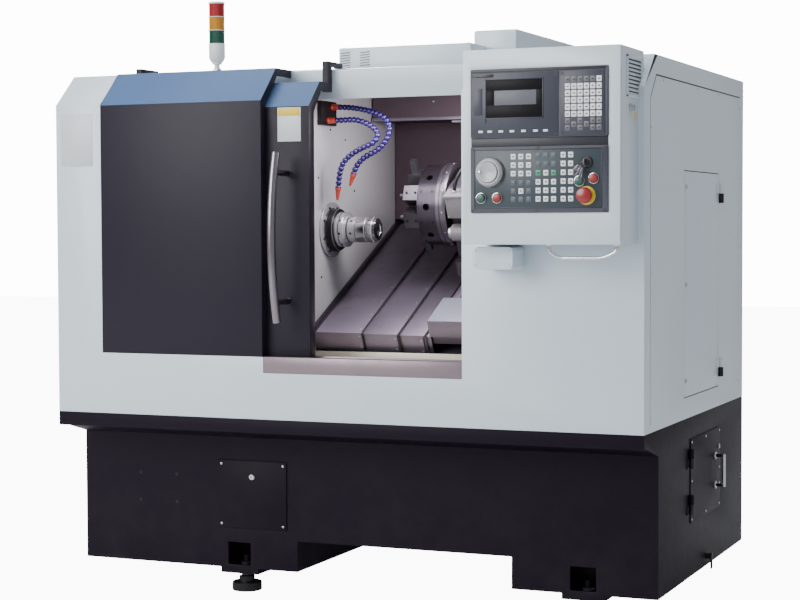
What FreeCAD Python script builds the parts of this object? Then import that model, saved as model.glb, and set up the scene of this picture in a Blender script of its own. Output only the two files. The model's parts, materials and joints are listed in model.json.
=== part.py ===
import FreeCAD, Part
import math
import os
import re
import Sketcher

# Slant-bed turning lathe. Everything is laid out in the machine's own frame:
# X to the right from the left side panel, Y back from the front panel, Z up from the floor.
# finish() then moves each piece so that the origin is under the middle of the machine.

os.makedirs("parts", exist_ok=True)
doc = FreeCAD.newDocument("turning_lathe")
sheet = doc.addObject("Spreadsheet::Sheet", "Sizes")
nodes = []

SIZES = {
    # enclosure
    "housing_width": 1950, "housing_depth": 1271, "deck_top": 578, "break_top": 1564,
    "roof_top": 1664, "chamfer_depth": 109, "skin": 3, "roof_lip": 30,
    "bay_left": 167, "bay_right": 1398, "bay_bottom": 772, "bay_depth": 215,
    "sill_left": 742, "sill_drop": 50, "header_bottom": 1572, "side_reach": 40,
    # base
    "base_front": 157, "base_bottom": 78, "base_wall": 12, "lip_drop": 44, "lip_setback": 30,
    "gusset_drop": 78, "arch_left": 780, "arch_right": 1496, "arch_top": 176,
    "foot_left": 572, "foot_right": 1721, "foot_inset": 52, "foot_radius": 48, "tab_width": 134,
    "tab_thick": 18, "bolt_radius": 10, "bolt_play": 0.5, "pocket_width": 80, "pocket_top": 160,
    "access_left": 499, "access_right": 743, "access_bottom": 208, "access_top": 425,
    "base_door_front": 532, "base_door_back": 925, "base_door_bottom": 247, "base_door_top": 510,
    # slant bed, measured along the slope and square to it
    "bed_slope": 26, "bed_left": 340, "bed_right": 1820, "bed_foot": 300, "bed_back": 1100,
    "bed_low": 600, "bed_high": 1345, "bed_face": 562, "rail_width": 35, "rail_height": 30,
    "rail_low": 680, "rail_high": 1200, "rail_play": 0.5,
    "spindle_back": 376, "spindle_high": 1162, "spindle_slope": 847, "spindle_rise": 880,
    "wall_face": 800, "nose_radius": 40, "shaft_radius": 35, "bearing_radius": 60,
    "bearing_play": 0.05, "cap_radius": 89, "spigot_radius": 79, "wall_play": 1,
    "ring_one": 67, "ring_two": 56, "nose_end": 960, "collet_radius": 27, "collet_bore": 16,
    "bar_bore": 18, "bar_feed_radius": 30, "collet_length": 80, "pulley_radius": 80,
    "motor_pulley_radius": 60,
    "belt_width": 30, "belt_thick": 6, "belt_play": 0.3, "motor_back": 800, "motor_high": 1250,
    "motor_radius": 105, "motor_shaft": 18, "motor_left": 420, "motor_length": 340,
    "headstock_left": 400, "headstock_front": 320, "headstock_back": 640, "shaft_left": 350,
    "pulley_left": 360,
    # telescopic way covers
    "cover_top": 652, "cover_step": 6, "cover_sheet": 2.5, "cover_low": 573, "cover_high": 1376,
    "cover_skirt": 65, "wiper_play": 0.3, "cover_length": 215, "cover_one_end": 975,
    "cover_two_end": 1096, "cover_three_end": 1183,
    # carriage, cross slide and turret
    "saddle_left": 1198, "saddle_right": 1500, "saddle_low": 600, "saddle_high": 1330,
    "saddle_face": 650, "tray_low": 583, "tray_high": 738, "tray_face": 693,
    "slide_low": 900, "slide_high": 1220, "slide_face": 735, "turret_slope": 1027,
    "disc_left": 1088, "disc_right": 1152, "disc_radius": 130, "ring_right": 1187,
    "index_radius": 135, "turret_back": 1400, "turret_low": 925, "turret_high": 1140,
    "turret_top": 985, "disc_shaft": 45, "shaft_play": 0.1, "holder_length": 53,
    "holder_inner": 62, "holder_outer": 118, "holder_width": 50, "tool_size": 20,
    # coolant hoses
    "hose_block_thick": 16, "hose_block_front": 277, "hose_block_back": 390, "hose_block_low": 1497,
    "hose_block_high": 1574, "hose_radius": 9.5, "nozzle_radius": 3.5, "nozzle_length": 40,
    # sliding door and its fixed cover
    "door_left": 190, "door_right": 886, "door_front": 36, "door_depth": 38, "door_bottom": 752,
    "door_break": 1541, "door_top": 1621, "door_slope_depth": 80,
    "door_return": 28, "hanger_back": 206, "window_left": 320, "window_right": 700, "window_bottom": 940,
    "window_top": 1410, "window_lap": 15, "glass_thick": 5, "cover_right": 740,
    "cover_break": 1560, "cover_roof": 262, "cover_return": 32, "handle_place": 815,
    "handle_low": 883, "handle_tall": 513, "handle_radius": 13, "handle_bow": 33,
    "handle_stand": 85, "handle_end": 60, "rail_front": 268, "rail_thick": 12, "rail_rise": 8,
    # control box and what it carries
    "box_left": 1472, "box_right": 1931, "box_reach": 177, "box_bottom": 1121, "box_rise": 3,
    "box_roof": 60, "panel_proud": 6, "panel_play": 0.5, "unit_left": 1497, "unit_right": 1897,
    "unit_bottom": 1419, "unit_top": 1611, "keys_bottom": 1210, "keys_top": 1394,
    "unit_depth": 90, "button_radius": 13, "button_proud": 12, "stop_radius": 20,
    "stop_proud": 34, "wheel_radius": 40, "button_play": 0.4,
    # right side door, tower light, roof boxes
    "side_door_front": 457, "side_door_back": 905, "side_door_bottom": 646,
    "side_door_top": 1337, "door_gap": 3, "hinge_radius": 8, "pin_radius": 4, "pin_play": 0.05,
    "tower_place": 411, "tower_back": 330, "lens_radius": 27, "roof_box_left": 844,
    "roof_box_right": 1296, "roof_box_front": 350, "roof_box_back": 490, "roof_box_tall": 80,
    "hood_left": 1251, "hood_right": 1393, "hood_front": 500, "hood_back": 1120, "hood_tall": 133,
    # vents, tray and small fittings
    "rear_vent_left": 1300, "rear_vent_right": 1640, "rear_vent_low": 1240, "rear_vent_step": 22,
    "rear_vent_tall": 10, "louvre_front": -110, "louvre_back": 20, "louvre_low": 1536,
    "louvre_step": 11, "louvre_tall": 5, "tray_fold": 240, "box_handle_left": 1718,
    "box_handle_right": 1913, "box_handle_reach": 150, "cable_box_front": -110,
    "cable_box_low": 1049, "cable_box_high": 1113, "box_key_back": -80, "box_key_high": 1500,
    "drain_back": 747, "drain_high": 110,
}

for row, (alias, value) in enumerate(SIZES.items(), start=1):
    sheet.set("A%d" % row, alias)
    sheet.set("B%d" % row, str(value))
    sheet.setAlias("B%d" % row, alias)
doc.recompute()


def size(alias):
    return float(sheet.get(alias))


def named(text):
    """Sheet names in a plain expression, such as skin + 2, become references to the sheet."""
    return re.sub(r"\b([a-z][a-z_]*)\b(?!\()", r"Sizes.\1", str(text))


def bind(thing, path, text):
    thing.setExpression(path, named(text))


def place(thing, x, y, z):
    for letter, text in zip("xyz", (x, y, z)):
        bind(thing, "Placement.Base." + letter, text)
    return thing


def box(x, y, z, length, width, height):
    block = doc.addObject("Part::Box", "Block")
    for path, text in (("Length", length), ("Width", width), ("Height", height)):
        bind(block, path, text)
    return place(block, x, y, z)


def span(x, y, z):
    """A box from three pairs of limits."""
    sides = ["(%s) - (%s)" % (high, low) for low, high in (x, y, z)]
    return box(x[0], y[0], z[0], *sides)


def rod(axis, radius, length, x, y, z):
    """A cylinder along +X, +Y or +Z from the point given."""
    shape = doc.addObject("Part::Cylinder", "Rod")
    bind(shape, "Radius", radius)
    bind(shape, "Height", length)
    turned = {"X": FreeCAD.Vector(1, 0, 0), "Y": FreeCAD.Vector(0, 1, 0), "Z": FreeCAD.Vector(0, 0, 1)}
    shape.Placement = FreeCAD.Placement(FreeCAD.Vector(),
                                        FreeCAD.Rotation(FreeCAD.Vector(0, 0, 1), turned[axis]))
    return place(shape, x, y, z)


def fuse(*shapes):
    if len(shapes) == 1:
        return shapes[0]
    joined = doc.addObject("Part::MultiFuse", "Joined")
    joined.Shapes = list(shapes)
    joined.Refine = True
    return joined


def cut(base, *tools):
    result = doc.addObject("Part::Cut", "Cut")
    result.Base = base
    result.Tool = fuse(*tools)
    return result


def group(*shapes):
    together = doc.addObject("Part::Compound", "Group")
    together.Links = list(shapes)
    return together


def rounded(base, radius, direction):
    """Fillets every straight edge of a box that runs along one axis."""
    doc.recompute()
    result = doc.addObject("Part::Fillet", "Rounded")
    result.Base = base
    edges = []
    for index, edge in enumerate(base.Shape.Edges, start=1):
        if len(edge.Vertexes) == 2:
            along = edge.Vertexes[1].Point - edge.Vertexes[0].Point
            if abs(abs(along.normalize().dot(direction)) - 1) < 1e-6:
                edges.append((index, radius, radius))
    result.Edges = edges
    return result


def body_profile(plane, points, start, depth, holes=()):
    """A PartDesign body: a closed outline on an origin plane, with round holes, padded."""
    body = doc.addObject("PartDesign::Body", "Profile")
    sketch = body.newObject("Sketcher::SketchObject", "Outline")
    origin_plane = [item for item in body.Origin.OriginFeatures if item.Role == plane][0]
    sketch.AttachmentSupport = (origin_plane, "")
    sketch.MapMode = "FlatFace"
    sign = "-" if plane == "XZ_Plane" else ""
    bind(sketch, "AttachmentOffset.Base.z", "%s(%s)" % (sign, start))
    count = len(points)
    around = [FreeCAD.Vector(math.cos(2 * math.pi * step / count), math.sin(2 * math.pi * step / count), 0)
              for step in range(count)]
    for step in range(count):
        sketch.addGeometry(Part.LineSegment(around[step], around[(step + 1) % count]), False)
    for step in range(count):
        sketch.addConstraint(Sketcher.Constraint("Coincident", step, 2, (step + 1) % count, 1))
    for step, (across, up) in enumerate(points):
        for kind, text, here in (("DistanceX", across, around[step].x), ("DistanceY", up, around[step].y)):
            index = sketch.addConstraint(Sketcher.Constraint(kind, -1, 1, step, 1, here))
            bind(sketch, "Constraints[%d]" % index, text)
    for across, up, radius in holes:
        index = sketch.addGeometry(Part.Circle(FreeCAD.Vector(0.5, 0.5, 0), FreeCAD.Vector(0, 0, 1), 0.1),
                                   False)
        for kind, text, here in (("DistanceX", across, 0.5), ("DistanceY", up, 0.5)):
            rule = sketch.addConstraint(Sketcher.Constraint(kind, -1, 1, index, 3, here))
            bind(sketch, "Constraints[%d]" % rule, text)
        rule = sketch.addConstraint(Sketcher.Constraint("Radius", index, 0.1))
        bind(sketch, "Constraints[%d]" % rule, radius)
    pad = body.newObject("PartDesign::Pad", "Pad")
    pad.Profile = sketch
    pad.Reversed = plane == "XZ_Plane"
    bind(pad, "Length", depth)
    return body


def along_x(points, left, right):
    """A profile in Y and Z, padded from left to right."""
    return body_profile("YZ_Plane", points, left, "(%s) - (%s)" % (right, left))


def finish(label, shape, slanted=False):
    """Names a sub-part and sets it in the frame of the whole machine."""
    if shape.TypeId in ("Part::Box", "Part::Cylinder"):
        shape = group(shape)
    shape.Label = label
    if slanted:
        shape.Placement = FreeCAD.Placement(FreeCAD.Vector(), FreeCAD.Rotation(FreeCAD.Vector(1, 0, 0), 1))
        bind(shape, "Placement.Rotation.Angle", "bed_slope")
    place(shape, "-(housing_width + side_reach) / 2",
          "-(housing_depth - box_reach - stop_proud - panel_proud) / 2", "0")
    nodes.append(shape)


def slope_height(back, rise="bed_face"):
    """Height of a face of the bed at a distance back."""
    return "((%s) + (%s) * sin(bed_slope)) / cos(bed_slope)" % (rise, back)


# base

def base_frame():
    outer = along_x([("0", "deck_top"), ("0", "deck_top - lip_drop"),
                     ("lip_setback", "deck_top - lip_drop"),
                     ("base_front", "deck_top - gusset_drop"), ("base_front", "base_bottom"),
                     ("housing_depth", "base_bottom"), ("housing_depth", "deck_top")], "0", "housing_width")
    hollow = span(("base_wall", "housing_width - base_wall"),
                  ("base_front + base_wall", "housing_depth - base_wall"),
                  ("base_bottom - 10", "deck_top - base_wall"))
    arch = span(("arch_left", "arch_right"), ("base_front - 10", "housing_depth + 10"),
                ("base_bottom - 10", "arch_top"))
    access = span(("access_left + 20", "access_right - 20"),
                  ("base_front - 1", "base_front + base_wall + 1"),
                  ("access_bottom + 20", "access_top - 20"))
    doorway = span(("housing_width - base_wall - 1", "housing_width + 1"),
                   ("base_door_front + 15", "base_door_back - 15"),
                   ("base_door_bottom + 15", "base_door_top - 15"))
    shell = cut(outer, hollow, arch, access, doorway)
    parts = [shell]
    for left in ("arch_left - base_wall", "arch_right"):
        parts.append(span((left, left + " + base_wall"),
                          ("base_front + base_wall", "housing_depth - base_wall"),
                          ("base_bottom", "deck_top - base_wall")))
    for left, right in (("arch_left", "arch_left + 20"), ("arch_right - 20", "arch_right")):
        parts.append(span((left, right), ("base_front + base_wall", "housing_depth - base_wall"),
                          ("arch_top", "arch_top + 14")))
    holes = []
    for foot in ("foot_left", "foot_right"):
        for near, far, axis in (("base_front", "base_front + 2 * foot_inset", "base_front + foot_inset"),
                                ("housing_depth - 2 * foot_inset", "housing_depth",
                                 "housing_depth - foot_inset")):
            parts.append(span((foot + " - tab_width / 2", foot + " + tab_width / 2"), (near, far),
                              ("base_bottom - tab_thick", "base_bottom")))
            holes.append(rod("Z", "bolt_radius + bolt_play", "tab_thick + 2", foot, axis,
                             "base_bottom - tab_thick - 1"))
        holes.append(span((foot + " - pocket_width / 2", foot + " + pocket_width / 2"),
                          ("base_front - 1",
                           "base_front + base_wall + 1"), ("base_bottom + 10", "pocket_top")))
    finish("base_frame", cut(fuse(*parts), *holes))


def levelling_feet():
    pieces = []
    for foot in ("foot_left", "foot_right"):
        for axis in ("base_front + foot_inset", "housing_depth - foot_inset"):
            pad = fuse(rod("Z", "foot_radius", "18", foot, axis, "0"),
                       rod("Z", "foot_radius / 2", "16", foot, axis, "18"))
            stem = rod("Z", "bolt_radius", "base_bottom + 34", foot, axis, "34")
            pieces.append(fuse(pad, stem))
            for low, tall in (("base_bottom", "14"), ("base_bottom - tab_thick - 12", "12")):
                nut = doc.addObject("Part::Prism", "Nut")
                nut.Polygon = 6
                bind(nut, "Circumradius", "bolt_radius * 2")
                bind(nut, "Height", tall)
                place(nut, foot, axis, low)
                pieces.append(cut(nut, rod("Z", "bolt_radius", "40", foot, axis, low + " - 10")))
    finish("levelling_feet", group(*pieces))


def access_plate():
    corners = [(x, z) for x in ("access_left + 12", "access_right - 12")
               for z in ("access_bottom + 12", "access_top - 12")]
    plug_x = "(access_left + access_right) / 2"
    plug_z = "access_top - 51"
    plate = body_profile("XZ_Plane", [("access_left", "access_bottom"), ("access_right", "access_bottom"),
                                      ("access_right", "access_top"), ("access_left", "access_top")],
                         "base_front - 4", "4", [(x, z, "3") for x, z in corners] + [(plug_x, plug_z, "7")])
    pieces = [plate]
    for x, z in corners:
        pieces.append(fuse(rod("Y", "5.5", "3", x, "base_front - 7", z),
                           rod("Y", "2.9", "4", x, "base_front - 4", z)))
    pieces.append(fuse(rod("Y", "10", "4", plug_x, "base_front - 8", plug_z),
                       rod("Y", "6.9", "4", plug_x, "base_front - 4", plug_z)))
    finish("base_access_plate", group(*pieces))


def coolant_tank():
    low = "arch_top + 14"
    outer = span(("arch_left + 2", "arch_right - 2"), ("base_front + 60", "housing_depth - 60"),
                 (low, low + " + 220"))
    inside = span(("arch_left + 5", "arch_right - 5"), ("base_front + 63", "housing_depth - 63"),
                  (low + " + 3", low + " + 230"))
    bridge = span(("arch_left + 4", "arch_right - 4"), ("housing_depth - 260", "housing_depth - 61"),
                  (low + " + 210", low + " + 216"))
    pump = fuse(rod("Z", "60", "110", "arch_right - 120", "housing_depth - 160", low + " + 216"),
                rod("Z", "45", "190", "arch_right - 120", "housing_depth - 160", low + " + 30"))
    well = rod("Z", "46", "20", "arch_right - 120", "housing_depth - 160", low + " + 205")
    finish("coolant_tank", group(cut(fuse(cut(outer, inside), bridge), well), pump))


# bed and headstock

def bed_casting():
    front = "bed_low * cos(bed_slope) - bed_face * sin(bed_slope)"
    back = "bed_high * cos(bed_slope) - bed_face * sin(bed_slope)"
    outline = [("bed_foot", "deck_top"), ("bed_back", "deck_top"), ("bed_back", slope_height(back)),
               (back, slope_height(back)), (front, slope_height(front)), ("bed_foot - 8", "deck_top + 20")]
    block = along_x(outline, "bed_left", "bed_right")
    cores = []
    for left, right in (("bed_left + 40", "wall_face - 20"), ("wall_face + 20", "wall_face + 480"),
                        ("wall_face + 520", "bed_right - 40")):
        cores.append(span((left, right), ("bed_foot + 40", "bed_back - 40"),
                          ("deck_top - 1", "deck_top + 150")))
    finish("bed_casting", cut(block, *cores))
    rails = [box("wall_face + 20", low, "bed_face", "bed_right - wall_face - 40", "rail_width",
                 "rail_height")
             for low in ("rail_low", "rail_high")]
    finish("bed_rails", group(*rails), slanted=True)


def headstock():
    outline = [("headstock_front", slope_height("headstock_front")),
               ("headstock_back", slope_height("headstock_back")),
               ("spindle_back + 184", "spindle_high + 168"), ("spindle_back - 86", "spindle_high + 168"),
               ("spindle_back - 131", "spindle_high + 118"), ("spindle_back - 131", "spindle_high - 122")]
    block = along_x(outline, "headstock_left", "wall_face - 4")
    bore = rod("X", "bearing_radius", "wall_face", "headstock_left - 10", "spindle_back", "spindle_high")
    seat = rod("X", "spigot_radius", "20", "wall_face - 14", "spindle_back", "spindle_high")
    finish("headstock", cut(block, bore, seat))
    rings = []
    for left in ("headstock_left + 10", "wall_face - 60"):
        ring = cut(rod("X", "bearing_radius - bearing_play", "40", left, "spindle_back", "spindle_high"),
                   rod("X", "shaft_radius + bearing_play", "60", left + " - 10", "spindle_back",
                       "spindle_high"))
        rings.append(ring)
    cap = fuse(rod("X", "cap_radius", "8", "wall_face", "spindle_back", "spindle_high"),
               rod("X", "spigot_radius", "14", "wall_face - 14", "spindle_back", "spindle_high"))
    rings.append(cut(cap,
                     rod("X", "shaft_radius + 2", "60", "wall_face - 30", "spindle_back", "spindle_high")))
    finish("spindle_bearings", group(*rings))


def spindle():
    centre = ("spindle_back", "spindle_high")
    pieces = [rod("X", "shaft_radius", "wall_face - shaft_left + 10", "shaft_left", *centre),
              rod("X", "ring_one", "25", "wall_face + 9", *centre),
              rod("X", "ring_two", "28", "wall_face + 34", *centre),
              rod("X", "nose_radius", "nose_end - wall_face - 62", "wall_face + 62", *centre),
              rod("X", "pulley_radius", "belt_width + 8", "pulley_left", *centre)]
    bores = [rod("X", "bar_bore", "nose_end", "shaft_left - 10", *centre),
             rod("X", "collet_radius", "collet_length + 1", "nose_end - collet_length", *centre),
             cut(rod("X", "pulley_radius + 1", "belt_width + 2", "pulley_left + 3", *centre),
                 rod("X", "pulley_radius - 4", "belt_width + 4", "pulley_left + 2", *centre))]
    finish("spindle_shaft", cut(fuse(*pieces), *bores))
    collet = fuse(rod("X", "collet_radius - 0.1", "collet_length", "nose_end - collet_length", *centre),
                  rod("X", "collet_radius + 9", "7", "nose_end", *centre))
    slits = [rod("X", "collet_bore", "collet_length + 20", "nose_end - collet_length - 5", *centre)]
    for turn in (0, 120, 240):
        slit = box("0", "0", "0", "60", "collet_radius + 12", "2")
        slit.Placement = FreeCAD.Placement(FreeCAD.Vector(),
                                           FreeCAD.Rotation(FreeCAD.Vector(1, 0, 0), turn))
        slits.append(place(slit, "nose_end - 45", *centre))
    finish("collet", cut(collet, *slits))


def drive():
    centre = ("motor_back", "motor_high")
    can = rod("X", "motor_radius", "motor_length", "motor_left", *centre)
    mount = along_x([("motor_back - 90", slope_height("motor_back - 90")),
                     ("motor_back + 90", slope_height("motor_back + 90")),
                     ("motor_back + 90",
                      "motor_high - 90"), ("motor_back - 90", "motor_high - 90")],
                    "motor_left + 50", "motor_left + 280")
    finish("spindle_motor",
           cut(fuse(can, mount), rod("X", "motor_shaft + shaft_play", "30", "motor_left - 5", *centre)))
    wheel = fuse(rod("X", "motor_pulley_radius", "belt_width + 8", "pulley_left", *centre),
                 rod("X", "motor_shaft", "46", "pulley_left + 38", *centre))
    groove = cut(rod("X", "motor_pulley_radius + 1", "belt_width + 2", "pulley_left + 3", *centre),
                 rod("X", "motor_pulley_radius - 4", "belt_width + 4", "pulley_left + 2", *centre))
    finish("motor_pulley", cut(wheel, groove))


def loop_face(centres, radii, left):
    """A face bounded by two round ends and their outer tangents, in a plane of constant X."""
    (y_one, z_one), (y_two, z_two) = centres
    gap = math.hypot(y_two - y_one, z_two - z_one)
    heading = math.atan2(z_two - z_one, y_two - y_one)
    lean = math.acos((radii[0] - radii[1]) / gap)

    def rim(which, angle):
        y, z = centres[which]
        return FreeCAD.Vector(left, y + radii[which] * math.cos(angle), z + radii[which] * math.sin(angle))
    upper, lower = heading + lean, heading - lean
    edges = [Part.LineSegment(rim(0, upper), rim(1, upper)).toShape(),
             Part.Arc(rim(1, upper), rim(1, heading), rim(1, lower)).toShape(),
             Part.LineSegment(rim(1, lower), rim(0, lower)).toShape(),
             Part.Arc(rim(0, lower), rim(0, heading + math.pi), rim(0, upper)).toShape()]
    return Part.Face(Part.Wire(edges))


def drive_belt():
    centres = ((size("spindle_back"), size("spindle_high")), (size("motor_back"), size("motor_high")))
    inner = [size(name) - 4 + size("belt_play") for name in ("pulley_radius", "motor_pulley_radius")]
    outer = [radius + size("belt_thick") for radius in inner]
    width = FreeCAD.Vector(size("belt_width"), 0, 0)
    left = size("pulley_left") + 4
    ring = loop_face(centres, outer,
                     left).extrude(width).cut(loop_face(centres, inner, left).extrude(width))
    belt = doc.addObject("Part::Feature", "Belt")
    belt.Shape = ring
    finish("drive_belt", belt)


# sheet-metal enclosure

def front_panel():
    lean = "skin * 0.4"
    sheet_profile = [("0", "deck_top"), ("0", "break_top"), ("chamfer_depth", "roof_top"),
                     ("chamfer_depth + roof_lip",
                      "roof_top"), ("chamfer_depth + roof_lip", "roof_top - skin"),
                     ("chamfer_depth + " + lean, "roof_top - skin"), ("skin", "break_top - " + lean),
                     ("skin", "deck_top")]
    folded = along_x(sheet_profile, "0", "housing_width")
    bay = span(("bay_left", "bay_right"), ("-1", "chamfer_depth + roof_lip + 1"),
               ("bay_bottom", "roof_top + 1"))
    sill = span(("sill_left", "bay_right"), ("-1", "skin + 1"),
                ("bay_bottom - sill_drop", "bay_bottom + 1"))
    finish("front_panel", cut(folded, bay, sill))


def side_panels():
    outline = [("skin", "deck_top"), ("housing_depth", "deck_top"), ("housing_depth", "roof_top - skin"),
               ("chamfer_depth + skin * 0.4", "roof_top - skin"), ("skin", "break_top - skin * 0.4")]
    bar_feed = rod("X", "bar_feed_radius", "skin + 2", "-1", "spindle_back", "spindle_high")
    finish("left_panel", cut(along_x(outline, "0", "skin"), bar_feed))
    right = along_x(outline, "housing_width - skin", "housing_width")
    doorway = span(("housing_width - skin - 1", "housing_width + 1"),
                   ("side_door_front - door_gap", "side_door_back + door_gap"),
                   ("side_door_bottom - door_gap", "side_door_top + door_gap"))
    finish("right_panel", cut(right, doorway))
    rear = span(("skin", "housing_width - skin"), ("housing_depth - skin", "housing_depth"),
                ("deck_top", "roof_top - skin"))
    slots = [span(("rear_vent_left", "rear_vent_right"), ("housing_depth - skin - 1", "housing_depth + 1"),
                  ("rear_vent_low + %d * rear_vent_step" % step,
                   "rear_vent_low + %d * rear_vent_step + rear_vent_tall" % step)) for step in range(9)]
    finish("rear_panel", cut(rear, *slots))


def roof():
    top = span(("0", "housing_width"), ("chamfer_depth + roof_lip", "housing_depth"),
               ("roof_top - skin", "roof_top"))
    bay = span(("bay_left", "bay_right"), ("chamfer_depth", "bay_depth"),
               ("roof_top - skin - 1", "roof_top + 1"))
    lip = span(("bay_left", "bay_right"), ("bay_depth", "bay_depth + skin"),
               ("header_bottom", "roof_top - skin"))
    finish("roof_panel", fuse(cut(top, bay), lip))


def outer_cover():
    profile = [("0", "bay_bottom"), ("0", "cover_break"), ("chamfer_depth - 2", "roof_top + skin"),
               ("cover_roof", "roof_top + skin"), ("cover_roof",
                                                   "roof_top"), ("chamfer_depth - 1", "roof_top"),
               ("skin", "cover_break - skin * 0.4"), ("skin", "bay_bottom")]
    skin_sheet = along_x(profile, "bay_left", "cover_right")
    edge = [("0", "bay_bottom"), ("0", "cover_break"), ("chamfer_depth - 2", "roof_top + skin"),
            ("bay_depth - 2", "roof_top + skin"), ("bay_depth - 2", "roof_top - 22"),
            ("chamfer_depth + 6", "roof_top - 22"), ("cover_return", "cover_break - 10"),
            ("cover_return", "bay_bottom")]
    slot = span(("door_left - 6", "cover_right - skin - 6"), ("hanger_back - 34", "hanger_back + 4"),
                ("roof_top - 1", "roof_top + skin + 1"))
    finish("outer_cover", cut(fuse(skin_sheet, along_x(edge, "cover_right - skin", "cover_right"),
                                   along_x(edge, "bay_left", "bay_left + skin")), slot))


def door_sill():
    top = "bay_bottom"
    profile = [("0", top + " - sill_drop"), ("0", top), ("door_front - 3", top),
               ("door_front - 3", top + " - 34"),
               ("door_front + 54", top + " - 34"), ("door_front + 54", top), ("door_front + 56", top),
               ("door_front + 56", top + " - 36"), ("door_front - 5",
                                                    top + " - 36"), ("door_front - 5", top + " - 2"),
               ("2", top + " - 2"), ("2", top + " - sill_drop")]
    sill = along_x(profile, "bay_left", "bay_right")
    lead = span(("bay_left - 1", "sill_left"), ("-1", "2.1"), (top + " - sill_drop - 1", top + " + 1"))
    lead_top = span(("bay_left - 1", "sill_left"), ("-1", "skin + 0.5"),
                    (top + " - sill_drop - 1", top + " + 1"))
    finish("door_sill", cut(sill, lead, lead_top))


def door_rail():
    finish("door_rail", span(("bay_left + 8", "bay_right + 30"), ("rail_front", "rail_front + rail_thick"),
                             ("roof_top", "roof_top + rail_rise")))


def inner_walls():
    back = "spindle_back + 535"
    outline = [("door_front + 58", "bay_bottom - 12"), ("bed_foot - 12", "bay_bottom - 12"),
               ("bed_foot - 12",
                slope_height("bed_foot + 2")), (back + " - skin",
                                                slope_height(back + " - skin", "bed_face + 2")),
               (back + " - skin", "roof_top - 28"),
               ("bay_depth + skin + 1", "roof_top - 28"), ("bay_depth + skin + 1", "header_bottom - 1"),
               ("door_front + 88", "header_bottom - 1"), ("door_front + 58", "door_break - 6")]
    plate = along_x(outline, "wall_face - 4", "wall_face")
    hole = rod("X", "spigot_radius + wall_play", "20", "wall_face - 10", "spindle_back", "spindle_high")
    finish("inner_left_wall", cut(plate, hole))
    bent = [("bay_depth + skin + 2", "roof_top - 24"), (back, "roof_top - 24"), (back, "roof_top - 468"),
            (back + " - skin", "roof_top - 468"), (back + " - skin", "roof_top - 27"),
            ("bay_depth + skin + 2", "roof_top - 27")]
    finish("inner_back_wall", along_x(bent, "wall_face + 1", "housing_width - skin"))
    top = "bay_bottom"
    tray = [("door_front + 57", top), ("door_front + 57", top + " - 15"), ("tray_fold", top + " - 15"),
            ("tray_fold", top + " - 130"), ("bed_foot - 12",
                                            top + " - 130"), ("bed_foot - 12", top + " - 132"),
            ("tray_fold - 2", top + " - 132"), ("tray_fold - 2",
                                                top + " - 17"), ("door_front + 59", top + " - 17"),
            ("door_front + 59", top)]
    finish("chip_tray", along_x(tray, "wall_face + 1", "housing_width - skin"))


def roof_boxes():
    vent = span(("roof_box_left", "roof_box_right"), ("roof_box_front", "roof_box_back"),
                ("roof_top", "roof_top + roof_box_tall"))
    finish("roof_vent_box", vent)
    hood = along_x([("hood_front", "roof_top"), ("hood_front", "roof_top + hood_tall - 7"),
                    ("hood_front + 12", "roof_top + hood_tall"),
                    ("hood_back", "roof_top + hood_tall"), ("hood_back", "roof_top")],
                   "hood_left", "hood_right")
    finish("roof_hood", hood)


# sliding door

def sliding_door():
    rear = "door_front + door_depth"
    slope_end = "door_front + door_slope_depth"
    roof_end = "hanger_back"
    profile = [("door_front", "door_bottom"), ("door_front", "door_break"), (slope_end, "door_top"),
               (roof_end, "door_top"), (roof_end,
                                        "door_top - skin"), (slope_end + " + 1", "door_top - skin"),
               ("door_front + skin", "door_break - 1"), ("door_front + skin", "door_bottom")]
    edge = [("door_front", "door_bottom"), ("door_front", "door_break"), (slope_end, "door_top"),
            (roof_end, "door_top"), (roof_end, "door_top - door_return"),
            (slope_end + " + 12",
             "door_top - door_return"), (rear, "door_break - 14"), (rear, "door_bottom")]
    skin_sheet = along_x(profile, "door_left", "door_right")
    parts = [skin_sheet, along_x(edge, "door_left", "door_left + skin"),
             along_x(edge, "door_right - skin", "door_right")]
    post_high = "roof_top + 24"
    for left in ("door_left + 4", "door_right - 20"):
        parts.append(span((left, left + " + 20"), (roof_end + " - 28", roof_end),
                          ("door_top - door_return", post_high)))
        parts.append(span((left, left + " + 20"), (roof_end + " - 1", "rail_front - 4"),
                          (post_high + " - 14", post_high)))
        parts.append(span((left, left + " + 20"), ("rail_front - 5", "rail_front + rail_thick + 6"),
                          ("roof_top + rail_rise + 0.3", post_high)))
    hole = span(("window_left + window_lap", "window_right - window_lap"),
                ("door_front - 1", "door_front + skin + 1"),
                ("window_bottom + window_lap", "window_top - window_lap"))
    finish("sliding_door", cut(fuse(*parts), hole))
    finish("door_window",
           span(("window_left", "window_right"), ("door_front + skin", "door_front + skin + glass_thick"),
                               ("window_bottom", "window_top")))


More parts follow.
